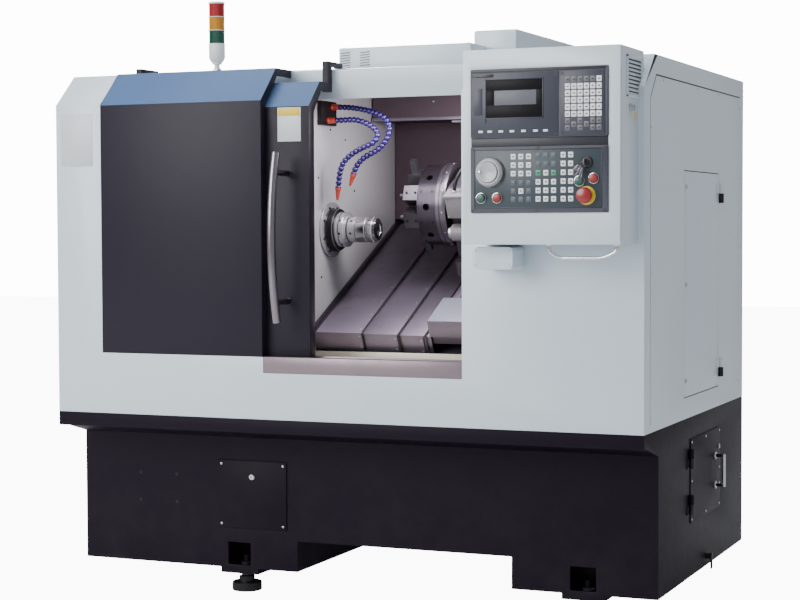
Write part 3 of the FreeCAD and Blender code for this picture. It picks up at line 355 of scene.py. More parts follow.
def soften(node, material, width):
    # a copy of the CAD node with its folded and machined edges broken, standing for it
    edge = {"weld": 2e-5, "flat": 0.6, "sharp": 35, "shortest": 0.006, "segments": 2}
    source = frame["nodes"][node]
    work = bmesh.new()
    work.from_mesh(source.data)
    bmesh.ops.remove_doubles(work, verts=work.verts, dist=edge["weld"])
    bmesh.ops.dissolve_limit(work, angle_limit=math.radians(edge["flat"]), verts=work.verts, edges=work.edges)
    sharp = [e for e in work.edges if len(e.link_faces) == 2
             and e.calc_face_angle(0) > math.radians(edge["sharp"]) and e.calc_length() > edge["shortest"]]
    if sharp:
        bmesh.ops.bevel(work, geom=sharp, offset=width / 1000, segments=edge["segments"],
                        profile=0.5, affect="EDGES", clamp_overlap=True, offset_type="OFFSET")
    bmesh.ops.triangulate(work, faces=[f for f in work.faces if len(f.verts) > 4])
    plain = bpy.data.meshes.new(node + "_piece")
    work.to_mesh(plain)
    work.free()
    for layer in [a.name for a in plain.attributes if a.name in ("custom_normal", "sharp_face", "UVMap")]:
        plain.attributes.remove(plain.attributes[layer])
    smooth(plain, 32)
    plain.materials.clear()
    plain.materials.append(material)
    made = place(node + "_piece", plain, source["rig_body"])
    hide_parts(node)


shells = {
    "base_frame": (paint["base"], "base_paint", 2.0), "front_panel": (paint["white"], "white_paint", 1.5),
    "left_panel": (paint["white"], "white_paint", 1.0), "right_panel": (paint["white"], "white_paint", 1.0),
    "rear_panel": (paint["white"], "white_paint", 1.0), "roof_panel": (paint["white"], "white_paint", 1.2),
    "outer_cover": (paint["graphite"], "graphite_paint", 1.5),
    "sliding_door": (paint["graphite"], "graphite_paint", 1.5),
    "door_sill": (metal["sill"], "stainless", 0.8), "door_rail": (metal["zinc"], "white_paint", 0.8),
    "inner_left_wall": (paint["interior"], "interior_paint", 0.8),
    "inner_back_wall": (paint["cavity"], "interior_paint", 0.8),
    "chip_tray": (paint["tray"], "interior_paint", 0.8),
    "roof_vent_box": (paint["white"], "white_paint", 2.0), "roof_hood": (paint["white"], "white_paint", 2.0),
    "way_cover_1": (metal["cover"], "stainless", 0.9), "way_cover_2": (metal["cover"], "stainless", 0.9),
    "way_cover_3": (metal["cover"], "stainless", 0.9), "way_cover_4": (metal["cover"], "stainless", 0.9),
    "saddle": (metal["cover"], "cast_iron", 1.5), "cross_slide": (metal["castIron"], "cast_iron", 1.5),
    "turret_housing": (paint["casting"], "cast_iron", 3.0),
    "control_box": (paint["white"], "white_paint", 1.5), "cable_box": (paint["white"], "white_paint", 2.0),
    "cnc_unit": (plastic["panel"], "panel_plastic",
                 1.5), "operator_panel": (plastic["panel"], "panel_plastic", 1.2),
    "side_door": (paint["white"], "white_paint", 0.8), "base_door": (paint["base"], "base_paint", 0.8),
    "bed_casting": (metal["castIron"], "cast_iron", 3.0), "headstock": (metal["castIron"], "cast_iron", 3.0),
    "hose_block": (metal["blackOxide"], "cast_iron", 1.0),
    "coolant_tank": (paint["interior"], "interior_paint", 1.0),
    "spindle_motor": (metal["castIron"], "cast_iron", 2.0),
}
for node, (material, slot, width) in shells.items():
    soften(node, material, width)
print("shells made")

# everything the CAD model shows as it is still gets a finish
carried = {
    "levelling_feet": metal["zinc"], "base_access_plate": paint["base"], "bed_rails": metal["ground"],
    "spindle_bearings": metal["ground"], "spindle_shaft": metal["ground"], "collet": metal["ground"],
    "motor_pulley": metal["castIron"], "drive_belt": plastic["rubber"], "coolant_hoses": plastic["hose"],
    "door_hinges": metal["blackOxide"], "tower_base": plastic["cream"], "tower_lenses": lens["amber"],
    "tower_cap": plastic["cream"], "door_window": glass, "door_handle": metal["handle"],
    "turret_disc": metal["turret"], "tool_holders": metal["holder"], "handwheel": plastic["knob"],
    "emergency_stop": plastic["red"], "start_button": plastic["green"], "hold_button": plastic["red"],
    "power_on_button": plastic["green"], "power_off_button": plastic["red"], "key_switch": metal["zinc"],
    "box_key": metal["zinc"], "drain_valve": metal["blackOxide"], "box_handle": metal["chrome"],
}
for node, material in carried.items():
    mesh = frame["nodes"][node].data
    mesh.materials.clear()
    mesh.materials.append(material)


# repeated pieces, each made by a node tree

class Shape(Graph):
    def __init__(self, name, **inputs):
        tree = bpy.data.node_groups.new(name, "GeometryNodeTree")
        super().__init__(tree)
        self.keys = {}
        tree.interface.new_socket("Geometry", in_out="INPUT", socket_type="NodeSocketGeometry")
        for label, kind in {**inputs, "finish": "Material"}.items():
            socket = tree.interface.new_socket(label, in_out="INPUT", socket_type="NodeSocket" + kind)
            self.keys[label] = socket.identifier
        tree.interface.new_socket("Geometry", in_out="OUTPUT", socket_type="NodeSocketGeometry")
        self.entry = tree.nodes.new("NodeGroupInput")

    def given(self, label="Geometry"):
        return Wire(self, self.entry.outputs[label])

    def copied(self):
        return self.node("GeometryNodeObjectInfo", {"transform_space": "ORIGINAL"},
                         {"Object": self.given("piece")}, "Geometry")

    def end(self, geometry):
        real = self.node("GeometryNodeRealizeInstances", {}, {"Geometry": geometry})
        coated = self.node("GeometryNodeSetMaterial", {}, {"Geometry": real, "Material": self.given("finish")})
        out = self.tree.nodes.new("NodeGroupOutput")
        self.tree.links.new(coated.socket, out.inputs[0])

    def grow(self, name, body, slot, source=None, **values):
        made = stand(name, source or bpy.data.meshes.new(name + "Start"))
        way = made.modifiers.new("grow", "NODES")
        way.node_group = self.tree
        for label, value in values.items():
            way[self.keys[label]] = value
        if made.type == "CURVE":
            bpy.context.view_layer.update()
            grown = bpy.data.meshes.new_from_object(made.evaluated_get(bpy.context.evaluated_depsgraph_get()))
            bpy.data.objects.remove(made)
            made = stand(name, grown)
        else:
            settle(made)
        smooth(made.data, 38)
        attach(made, body)
        return made


def spreadShape():
    # one copy of a piece at each point, its top turned the way the point faces
    g = Shape("spreadOnPoints", piece="Object", size="Float", twist="Float")
    facing = g.node("GeometryNodeInputNamedAttribute",
                    {"data_type": "FLOAT_VECTOR"}, {"Name": "facing"}, "Attribute")
    chance = g.node("FunctionNodeRandomValue", {"data_type": "FLOAT"},
                    {"Min": 0.0, "Max": g.given("twist"), "Seed": 7}, "Value")
    spin = g.node("FunctionNodeEulerToRotation", {}, {0: g.node("ShaderNodeCombineXYZ", {}, {"Z": chance})})
    aim = g.node("FunctionNodeAlignRotationToVector", {"axis": "Z"}, {"Vector": facing})
    turn = g.node("FunctionNodeRotateRotation",
                  {"rotation_space": "LOCAL"}, {"Rotation": aim, "Rotate By": spin})
    g.end(g.node("GeometryNodeInstanceOnPoints", {},
                 {"Points": g.given(), "Instance": g.copied(), "Rotation": turn, "Scale": g.given("size")}))
    return g


def rowShape():
    # equal steps from a first place
    g = Shape("rowOfPieces", piece="Object", count="Int", start="Vector", step="Vector")
    line = g.node("GeometryNodeMeshLine", {"mode": "OFFSET"},
                  {"Count": g.given("count"), "Start Location": g.given("start"), "Offset": g.given("step")})
    g.end(g.node("GeometryNodeInstanceOnPoints", {}, {"Points": line, "Instance": g.copied()}))
    return g


def ringShape():
    # evenly round a circle, each piece's X pointing outwards, the circle's own Z along the turned axis
    g = Shape("ringOfPieces", piece="Object", count="Int", radius="Float", centre="Vector", turn="Vector")
    ring = g.node("GeometryNodeMeshCircle", {"fill_type": "NONE"},
                  {"Vertices": g.given("count"), "Radius": g.given("radius")})
    out = g.node("FunctionNodeAlignRotationToVector",
                 {"axis": "X"}, {"Vector": g.node("GeometryNodeInputPosition")})
    copies = g.node("GeometryNodeInstanceOnPoints",
                    {}, {"Points": ring, "Instance": g.copied(), "Rotation": out})
    g.end(g.node("GeometryNodeTransform", {},
                 {"Geometry": copies, "Translation": g.given("centre"), "Rotation": g.given("turn")}))
    return g


def keyShape():
    # a pad of keys on an upright face: rounded caps with a chamfered top
    g = Shape("keyPad", columns="Int", rows="Int", across="Float", down="Float", width="Float",
              height="Float", depth="Float", corner="Float", first="Vector")
    base, lip = g.given("depth") * 0.7, g.given("depth") * 0.3
    outline = g.node("GeometryNodeCurvePrimitiveQuadrilateral", {"mode": "RECTANGLE"},
                     {"Width": g.given("width"), "Height": g.given("height")})
    outline = g.node("GeometryNodeFilletCurve", {"mode": "POLY"},
                     {"Curve": outline, "Count": 3, "Radius": g.given("corner")})
    sole = g.node("GeometryNodeFillCurve", {"mode": "NGONS"}, {"Curve": outline})
    body = g.node("GeometryNodeExtrudeMesh", {"mode": "FACES"},
                  {"Mesh": sole, "Offset Scale": base, "Individual": False})
    cap = g.node("GeometryNodeExtrudeMesh", {"mode": "FACES"},
                 {"Mesh": body, "Selection": body.part("Top"), "Offset Scale": lip, "Individual": False})
    cap = g.node("GeometryNodeScaleElements", {"domain": "FACE"},
                 {"Geometry": cap, "Selection": cap.part("Top"), "Scale": 0.86})
    under = g.node("GeometryNodeFlipFaces", {}, {"Mesh": sole})
    both = g.node("GeometryNodeJoinGeometry", {}, {"Geometry": cap})
    g.tree.links.new(under.socket, both.socket.node.inputs[0])
    key = g.node("GeometryNodeMergeByDistance", {}, {"Geometry": both, "Distance": 0.00002})
    upright = g.node("GeometryNodeTransform", {}, {"Geometry": key, "Rotation": (math.pi / 2, 0, 0)})
    line = g.node("GeometryNodeMeshLine", {"mode": "OFFSET"},
                  {"Count": g.given("columns"),
                   "Offset": g.node("ShaderNodeCombineXYZ", {}, {"X": g.given("across")})})
    drop = g.node("GeometryNodeMeshLine", {"mode": "OFFSET"},
                  {"Count": g.given("rows"), "Start Location": g.given("first"),
                   "Offset": g.node("ShaderNodeCombineXYZ", {}, {"Z": g.given("down") * -1.0})})
    lines = g.node("GeometryNodeInstanceOnPoints", {}, {"Points": drop, "Instance": line})
    spots = g.node("GeometryNodeRealizeInstances", {}, {"Geometry": lines})
    g.end(g.node("GeometryNodeInstanceOnPoints", {}, {"Points": spots, "Instance": upright}))
    return g


def chainShape():
    # ball-and-socket links along a curve
    g = Shape("chainAlongCurve", piece="Object", pitch="Float")
    steps = g.node("GeometryNodeResampleCurve",
                   {"mode": "LENGTH"}, {"Curve": g.given(), "Length": g.given("pitch")})
    aim = g.node("FunctionNodeAlignRotationToVector",
                 {"axis": "Z"}, {"Vector": g.node("GeometryNodeInputTangent")})
    g.end(g.node("GeometryNodeInstanceOnPoints",
                 {}, {"Points": steps, "Instance": g.copied(), "Rotation": aim}))
    return g


spread, row, ring, keypad, chain = spreadShape(), rowShape(), ringShape(), keyShape(), chainShape()
# a ring of copies whose own meshes already stand off the axis
onAxis = 0.0001


# pieces built one by one

axes = {"X": Matrix.Rotation(math.pi / 2, 4, "Y"), "-X": Matrix.Rotation(-math.pi / 2, 4, "Y"),
        "-Y": Matrix.Rotation(math.pi / 2, 4, "X"), "Y": Matrix.Rotation(-math.pi / 2, 4, "X"),
        "Z": Matrix.Identity(4), "-Z": Matrix.Rotation(math.pi, 4, "X")}


class Build:
    # gathers solids into one piece; each solid takes one of the piece's finishes
    def __init__(self, *finishes):
        self.mesh = bmesh.new()
        self.finishes = finishes

    def close(self, verts, finish, bevel):
        for face in dict.fromkeys(f for v in verts for f in v.link_faces):
            face.material_index = finish
        if bevel:
            edges = dict.fromkeys(e for v in verts
                                  for e in v.link_edges if e.calc_face_angle(0) > math.radians(30))
            bmesh.ops.bevel(self.mesh, geom=list(edges), offset=bevel / 1000, segments=2,
                            profile=0.5, affect="EDGES", clamp_overlap=True, material=-1)
        return self

    def block(self, low, high, finish, bevel, where, turn):
        low, high = Vector(low), Vector(high)
        middle, span = where(*((low + high) / 2)), (high - low) / 1000
        matrix = Matrix.Translation(middle) @ turn @ Matrix.Diagonal((*span, 1))
        made = bmesh.ops.create_cube(self.mesh, size=1, matrix=matrix)
        return self.close(made["verts"], finish, bevel)

    def box(self, low, high, finish=0, bevel=0.6, turn=Matrix.Identity(4)):
        return self.block(low, high, finish, bevel, at, turn)

    def slab(self, low, high, finish=0, bevel=0.5):
        # a box laid in the slant bed's own frame: x, up the slope, square to it
        return self.block(low, high, finish, bevel, onBed, Matrix.Rotation(bedSlope, 4, "X"))

    def prism(self, outline, push, finish=0, bevel=0.5):
        # outline is points in metres, push the thickness as a vector
        verts = [self.mesh.verts.new(p) for p in outline]
        face = self.mesh.faces.new(verts)
        top = bmesh.ops.extrude_face_region(self.mesh, geom=[face])["geom"]
        grown = [v for v in top if isinstance(v, bmesh.types.BMVert)]
        bmesh.ops.translate(self.mesh, verts=grown, vec=push)
        faces = list(dict.fromkeys(f for v in verts + grown for f in v.link_faces))
        bmesh.ops.recalc_face_normals(self.mesh, faces=faces)
        return self.close(verts + grown, finish, bevel)

    def lathe(self, profile, centre, axis="Z", finish=0, steps=40):
        # profile is (radius, height) pairs: from the axis to the axis, or a closed loop that makes a ring
        matrix = Matrix.Translation(centre) @ (axes[axis] if isinstance(axis, str) else axis)
        rings = []
        for radius, height in profile:
            if rings and (radius, height) == tuple(profile[0]) and radius > 0:
                rings.append(rings[0])
                continue
            if radius < 1e-6:
                rings.append([self.mesh.verts.new(matrix @ Vector((0, 0, height / 1000)))])
                continue
            around = [Vector((radius * math.cos(angle), radius * math.sin(angle), height)) / 1000
                      for angle in [2 * math.pi * step / steps for step in range(steps)]]
            rings.append([self.mesh.verts.new(matrix @ spot) for spot in around])
        for lower, upper in zip(rings, rings[1:]):
            for step in range(steps):
                following = (step + 1) % steps
                corners = [lower[step % len(lower)], lower[following % len(lower)],
                           upper[following % len(upper)], upper[step % len(upper)]]
                face = self.mesh.faces.new(list(dict.fromkeys(corners)))
                face.material_index = finish
        return self

    def tube(self, points, radius, finish=0, steps=12, smoothing=8):
        # a bent rod along points, its ends closed
        data = bentLine("bend", points, smoothing)
        data.bevel_depth = radius / 1000
        data.bevel_resolution = max(1, steps // 4 - 1)
        data.use_fill_caps = True
        bend = stand("bend", data)
        bpy.context.view_layer.update()
        made = bpy.data.meshes.new_from_object(bend)
        bpy.data.objects.remove(bend)
        start = len(self.mesh.faces)
        self.mesh.from_mesh(made)
        self.mesh.faces.ensure_lookup_table()
        fresh = self.mesh.faces[start:]
        for face in fresh:
            face.material_index = finish
        verts = list(dict.fromkeys(v for f in fresh for v in f.verts))
        bmesh.ops.remove_doubles(self.mesh, verts=verts, dist=1e-6)
        return self

    def data(self, name, angle=35):
        plain = bpy.data.meshes.new(name)
        bmesh.ops.recalc_face_normals(self.mesh, faces=self.mesh.faces)
        self.mesh.to_mesh(plain)
        self.mesh.free()
        for material in self.finishes:
            plain.materials.append(material)
        smooth(plain, angle)
        return plain

    def piece(self, name, body, slot, replaces=(), angle=35):
        made = place(name, self.data(name, angle), body)
        if replaces:
            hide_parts(*replaces)
        return made


def pattern(name, build):
    # a loose object that node trees copy, thrown away at the end
    made = stand(name, build.data(name))
    patterns.append(made)
    return made


def points(name, spots):
    # bare points, each with the way it faces
    mesh = bpy.data.meshes.new(name)
    mesh.from_pydata([spot for spot, _ in spots], [], [])
    layer = mesh.attributes.new("facing", "FLOAT_VECTOR", "POINT")
    for item, (_, way) in zip(layer.data, spots):
        item.vector = way
    return mesh


origin = Vector((0, 0, 0))
patterns = []
right, left, front, back, up = (Vector(v) for v in ((1, 0, 0), (-1, 0, 0), (0, -1, 0), (0, 1, 0), (0, 0, 1)))


# screws

def screwPatterns():
    # heads stand on z = 0; sizes in millimetres
    pan = Build().lathe([(0, -0.3), (4.2, -0.3),
                         (4.2, 0.5), (3.7, 1.6), (2.4, 2.2), (1.9, 2.3), (1.5, 1.2), (0, 1.1)],
                        origin, "Z", 0, 10)
    cap = Build().lathe([(0, -0.3), (5, -0.3), (5, 4.4), (4.5, 5), (2.7, 5), (2.6, 2.6), (0, 2.4)],
                        origin, "Z", 0, 12)
    flat = Build().lathe([(0, -0.3), (5.5, -0.3), (5.5, 0.2), (5, 0.6), (2.2, 0.6), (2, -0.1), (0, -0.2)],
                         origin, "Z", 0, 12)
    return pattern("panScrew", pan), pattern("capScrew", cap), pattern("flatScrew", flat)


panScrew, capScrew, flatScrew = screwPatterns()


def screws(name, head, material, spots, body="root", slot="machined_steel", size=1.0):
    return spread.grow(name, body, slot, points(name, spots), piece=head, size=size, twist=6.0, finish=material)


# signal tower

def makeTower():
    tower = {"x": 411, "y": 330, "foot": 1664, "neck": 18, "firstLens": 1774.5, "lensStep": 44, "lensTall": 42,
             "lensRadius": 26, "groove": 0.9, "ribs": 14, "ribPitch": 3, "cap": 1904.5}
    x, y, low = tower["x"], tower["y"], tower["foot"]
    post = Build(plastic["lamp"], metal["zinc"])
    post.lathe([(0, 0), (34, 0), (34, 4), (32, 6), (14, 6.5), (13, 12), (11, 13), (11, 30), (0, 30)],
               at(x, y, low))
    post.lathe([(0, 0), (15, 0), (16, 1), (16, 8), (15, 9), (0, 9)], at(x, y, low + tower["neck"]), "Z", 1, 6)
    post.lathe([(0, 0), (9, 0), (9, 24), (16, 25), (16, 30), (21, 34), (26.6, 46),
                (26.6, 84), (25.8, 85), (25.8, 86), (26.6, 87), (26.6, 92), (0, 92)],
               at(x, y, low + tower["neck"]))
    for index in range(4):
        rim = tower["firstLens"] + tower["lensStep"] * index - 2
        post.lathe([(0, 0), (26.4, 0), (26.8, 0.5), (26.8, 1.5), (26.4, 2), (0, 2)], at(x, y, rim))
    post.piece("towerStand", "root", "white_paint", ("tower_base",))
    for index, colour in enumerate(("green", "amber", "red")):
        foot = tower["firstLens"] + tower["lensStep"] * index
        crest = tower["lensRadius"]
        profile = [(0, 0), (crest - 0.6, 0)]
        for rib in range(tower["ribs"]):
            root = rib * tower["ribPitch"]
            profile += [(crest - tower["groove"], root + 0.2),
                        (crest, root + 1.5), (crest - tower["groove"], root + 2.8)]
        profile += [(crest - 0.6, tower["lensTall"]), (0, tower["lensTall"])]
        dome = Build(lens[colour]).lathe(profile, at(x, y, foot), "Z", 0, 48)
        made = dome.piece("towerLens_" + colour, "root", "lens_plastic")
    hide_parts("tower_lenses")
    cap = Build(plastic["lamp"])
    cap.lathe([(0, 0), (26.9, 0), (26.9, 4), (25, 6.6), (18, 7.8), (0, 8)], at(x, y, tower["cap"]), "Z", 0, 48)
    cap.piece("towerCap", "root", "white_paint", ("tower_cap",))


makeTower()
print("signal tower made")


# levelling feet and base

def makeFeet():
    foot = {"x": (572, 1721), "y": (209, 1219), "padBottom": 4.5, "studBottom": 34,
            "threads": 26, "pitch": 3, "nuts": ((78, 14), (48, 12))}
    pocket = {"left": 150, "right": 60, "floor": 78.5, "low": 79, "high": 172, "wall": (262, 1160)}
    build = Build(metal["blackOxide"], plastic["rubber"], metal["turret"])
    for x in foot["x"]:
        for y in foot["y"]:
            build.lathe([(0, 0), (47, 0), (48, 1), (48, 5), (0, 5)], at(x, y, 0), "Z", 1, 48)
            build.lathe([(0, 0), (48, 0),
                         (48, 21), (46, 23), (26, 23), (25, 24.5), (25, 41), (12, 42), (0, 42)],
                        at(x, y, foot["padBottom"]), "Z", 0, 48)
            thread = [(0, 0), (9.2, 0)]
            for turn in range(foot["threads"]):
                root = turn * foot["pitch"]
                thread += [(10, root + 0.7), (9.2, root + 1.6)]
            build.lathe(thread + [(8.6, 77.6), (0, 77.8)], at(x, y, foot["studBottom"]), "Z", 0, 16)
            for low, tall in foot["nuts"]:
                nut = [(0, 0), (17.6, 0), (20, 1.5), (20, tall - 1.5), (17.6, tall), (0, tall)]
                build.lathe(nut, at(x, y, low), "Z", 2, 6)
    build.piece("levellingFeet", "root", "machined_steel", ("levelling_feet",), 30)
    # painted shade: dark base-paint plates line the foot pockets and close them from below, standing for the
    # shade inside them
    shadeLiner = Build(paint["base"])
    near, far = pocket["wall"]
    for x in foot["x"]:
        left, middle, right = x - pocket["left"], x - pocket["right"], x + pocket["right"]
        shadeLiner.box((left, near, pocket["low"]), (right, near + 4, pocket["high"]), 0, 0.5)
        shadeLiner.box((middle, far, pocket["low"]), (right, far + 4, pocket["high"]), 0, 0.5)
        shadeLiner.box((left, 160, pocket["floor"]), (right, near, pocket["floor"] + 1.5), 0, 0.3)
        shadeLiner.box((middle, far + 4, pocket["floor"]), (right, 1268, pocket["floor"] + 1.5), 0, 0.3)
    shadeLiner.piece("footPocketLiners", "root", "base_paint")


def makeBaseFittings():
    plate = {"left": 499, "right": 743, "bottom": 208,
             "top": 425, "front": 153, "back": 157, "lock": (621, 374)}
    door = {"face": 1953, "near": 545, "middle": 728, "far": 912, "low": 258, "centre": 378, "high": 499}
    build = Build(paint["base"], metal["zinc"])
    build.box((plate["left"], plate["front"], plate["bottom"]),
              (plate["right"], plate["back"], plate["top"]), 0, 1.0)
    x, z = plate["lock"]
    build.lathe([(0, 0), (10, 0), (10, 2.4), (8.5, 4), (3.4, 4), (3, 1.5), (0, 1.2)],
                at(x, plate["front"], z), "-Y", 1, 24)
    build.piece("accessPlate", "root", "base_paint", ("base_access_plate",))
    spots = [(at(x, plate["front"], z), front) for x in (511, 731) for z in (220, 413)]
    screws("accessScrews", panScrew, metal["zinc"], spots)
    plugs = [(at(x, plate["back"], z), front) for x in (210, 345) for z in (280, 370)]
    screws("basePlugs", flatScrew, metal["blackOxide"], plugs)
    doorScrews = [(at(door["face"], y, z), right) for y in (door["near"], door["middle"], door["far"])
                  for z in (door["low"], door["high"])]
    doorScrews += [(at(door["face"], y, door["centre"]), right) for y in (door["near"], door["far"])]
    screws("baseDoorScrews", panScrew, metal["zinc"], doorScrews, "base_door")


makeFeet()
makeBaseFittings()
print("base made")


# coolant hoses

def makeHoses():
    routes = {
        "upper": [(816, 355, 1556), (866, 355, 1556), (930, 348, 1546), (990, 340, 1530), (1026, 335, 1502),
                  (1026, 332, 1458), (992, 330, 1416), (942, 328, 1394), (912, 327, 1366), (904, 326, 1340)],
        "lower": [(816, 325, 1512), (866, 325, 1512), (918, 323, 1513), (966, 320, 1495), (998, 316, 1467),
                  (984, 311, 1437), (936, 308, 1419), (890, 305, 1392), (865, 303, 1354), (861, 302, 1296)]}
    link = pattern("hoseLink",
                   Build().lathe([(0, -7.4), (4.8, -7.4), (7.2, -6.4), (9.0, -3.8), (9.5, -0.4),
                                  (9.2, 2.8), (8, 5), (6.4, 6), (5.8, 7.2), (5.8, 9.4), (0, 9.4)],
                                 origin, "Z", 0, 20))
    ends = Build(plastic["hoseOrange"], plastic["black"])
    for name, route in routes.items():
        data = bentLine("hoseLine", [at(*point) for point in route], 24)
        made = chain.grow("hose_" + name, "root",
                          "hose_plastic", data, piece=link, pitch=0.0148, finish=plastic["hose"])
        if name == "upper":
            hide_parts("coolant_hoses")
        head, tip = at(*route[0]), at(*route[-1])
        away = (tip - at(*route[-2])).normalized()
        ends.lathe([(0, 0), (11, 0), (11, 5), (9.6, 6), (9.6, 14), (9, 30), (7.5, 34), (0, 34)],
                   head, "X", 0, 20)
        ends.lathe([(0, -2), (8.6, -2), (9.4, 0),
                    (9.4, 8), (8, 10), (5.6, 30), (3.6, 39), (2, 40), (1.8, 34), (0, 33)],
                   tip, away.to_track_quat("Z", "Y").to_matrix().to_4x4(), 0, 20)
    ends.piece("hoseEnds", "root", "red_button")


makeHoses()
print("hoses made")


# control panel

panelFront = -183
controls = {"start_button": (1529, 1251), "hold_button": (1577, 1251), "power_on_button": (1817, 1296),
            "power_off_button": (1858, 1303), "emergency_stop": (1837, 1256),
            "handwheel": (1555, 1323), "key_switch": (1838, 1348)}


def onPanel(x, z, proud=0.0):
    return at(x, panelFront - proud, z)


def makeScreen():
    face = {"low": 1421, "high": 1600, "thick": 1.6, "displayLeft": 1500, "displayRight": 1756,
            "keysLeft": 1762, "keysRight": 1889, "softKeys": (1528, 1555, 1588, 1621, 1655, 1690, 1719),
            "softKeyHeight": 1437, "screwColumns": (1505, 1750, 1768, 1883), "screwRows": (1428, 1592)}
    # left, low, right and high of the dark surround and of the lit part in it
    glazed = {"dark": (1544, 1475, 1710, 1581), "lit": (1568, 1510, 1692, 1551)}
    y = panelFront
    halves = Build(plastic["panel"], plastic["panelDark"], plastic["black"])
    # painted shade: a dark plate fills the gap between the two panels and stands for the shadow in that gap
    halves.box((1497, -178.5, 1394), (1897, -176.5, 1420), 1, 0.3)
    for low, high in ((face["displayLeft"], face["displayRight"]), (face["keysLeft"], face["keysRight"])):
        halves.box((low, y - face["thick"], face["low"]), (high, y + 0.2, face["high"]), 0, 0.8)
    top = y - face["thick"]
    halves.box((1499, y - 1.0, 1602), (1892, y + 0.2, 1609), 1, 0.4)
    halves.box((1506, top - 0.5, 1483), (1533, top + 0.1, 1558), 0, 0.4)
    halves.box((1513, top - 0.4, 1588), (1566, top + 0.1, 1597), 2, 0.2)
    for low, high in (((1541, 1581), (1713, 1584)), ((1541, 1462), (1544, 1584)),
                      ((1710, 1472), (1713, 1584)), ((1541, 1472), (1713, 1475))):
        halves.box((low[0], top - 1.6, low[1]), (high[0], top + 0.1, high[1]), 0, 0.5)
    halves.piece("displayFace", "root", "panel_plastic")
    window = Build(plastic["screenFrame"], plastic["screen"])
    left, low, right, high = glazed["dark"]
    litLeft, litLow, litRight, litHigh = glazed["lit"]
    for foot, head in (((left, litHigh), (right, high)), ((left, low), (right, litLow)),
                       ((left, litLow), (litLeft, litHigh)), ((litRight, litLow), (right, litHigh))):
        window.box((foot[0], top - 0.7, foot[1]), (head[0], top + 0.1, head[1]), 0, 0.05)
    window.box((litLeft, top - 0.2, litLow), (litRight, top + 0.1, litHigh), 1, 0.05)
    window.piece("displayWindow", "root", "panel_plastic")
    for index, x in enumerate(face["softKeys"]):
        keypad.grow("softKey_%d" % (index + 1), "root", "panel_plastic", columns=1, rows=1, across=0.02,
                    down=0.02, width=0.0135, height=0.0062, depth=0.0016, corner=0.0015,
                    first=onPanel(x, face["softKeyHeight"], face["thick"] - 0.2), finish=plastic["keyWhite"])
    heads = [(onPanel(x, z, face["thick"]), front) for x in face["screwColumns"] for z in face["screwRows"]]
    screws("displayScrews", flatScrew, plastic["black"], heads, size=0.8)


def makeKeys():
    # pads as first key's centre, columns, rows, steps, key size and finish
    size = (0.0146, 0.0156)
    across, down = 18.0, 19.0
    step = (across / 1000, down / 1000)
    first = (1783, 1575.5)
    proud = 1.4
    pitch, small = (0.0225, 0.0236), (0.0142, 0.0152)
    apart = (0.045, 0.0236)
    pads = {
        "keysTopGrey": (first, 5, 1, step, size, "keyGrey"),
        "keysTopWhite": ((first[0] + 5 * across, first[1]), 1, 1, step, size, "keyWhite"),
        "keysMain": ((first[0], first[1] - down), 6, 5, step, size, "keyWhite"),
        "keysLowLeft": ((first[0], first[1] - 6 * down), 1, 2, step, size, "keyGrey"),
        "keysLowMiddle": ((first[0] + 2 * across, first[1] - 6 * down), 1, 2, step, size, "keyGrey"),
        "keysArrowSides": ((first[0] + across, first[1] - 6.5 * down), 2, 1, (0.036, 0.01), size, "keyGrey"),
        "keysLowRight": ((first[0] + 4 * across, first[1] - 6 * down), 2, 2, step, size, "keyGrey"),
        "padTopLeft": ((1624, 1366), 3, 3, pitch, small, "keyWhite"),
        "padLowLeftTop": ((1624, 1293), 3, 1, pitch, small, "keyDark"),
        "padLowLeftSides": ((1624, 1270), 2, 1, apart, small, "keyDark"),
        "padLowLeftCentre": ((1646.5, 1270), 1, 1, pitch, small, "keyWhite"),
        "padLowLeftFoot": ((1624, 1247), 3, 1, pitch, small, "keyDark"),
        "padMiddleDark": ((1697, 1368), 3, 2, pitch, small, "keyDark"),
        "padMiddleGreen": ((1697, 1320), 2, 1, apart, small, "keyGreen"),
        "padMiddleOne": ((1719.5, 1320), 1, 1, pitch, small, "keyWhite"),
        "padMiddleWhite": ((1697, 1295), 3, 3, pitch, small, "keyWhite"),
        "padRight": ((1770, 1369), 2, 6, (0.0215, 0.0242), small, "keyWhite"),
    }
    for name, ((x, z), columns, rows, (stepX, stepZ), (width, height), finish) in pads.items():
        lift = proud if name.startswith("keys") else 0.3
        keypad.grow(name, "root", "panel_plastic", columns=columns, rows=rows, across=stepX, down=stepZ,
                    width=width, height=height, depth=0.0012,
                    corner=0.0016, first=onPanel(x, z, lift), finish=plastic[finish])
        # a plain bar stands for whatever the key would say
        mark = "keyGrey" if finish == "keyDark" else "panelDark"
        keypad.grow(name + "Marks", "root", "panel_plastic", columns=columns, rows=rows, across=stepX,
                    down=stepZ, width=width * 0.45, height=0.003, depth=0.0004,
                    corner=0.0004, first=onPanel(x, z, lift + 1.15), finish=plastic[mark])


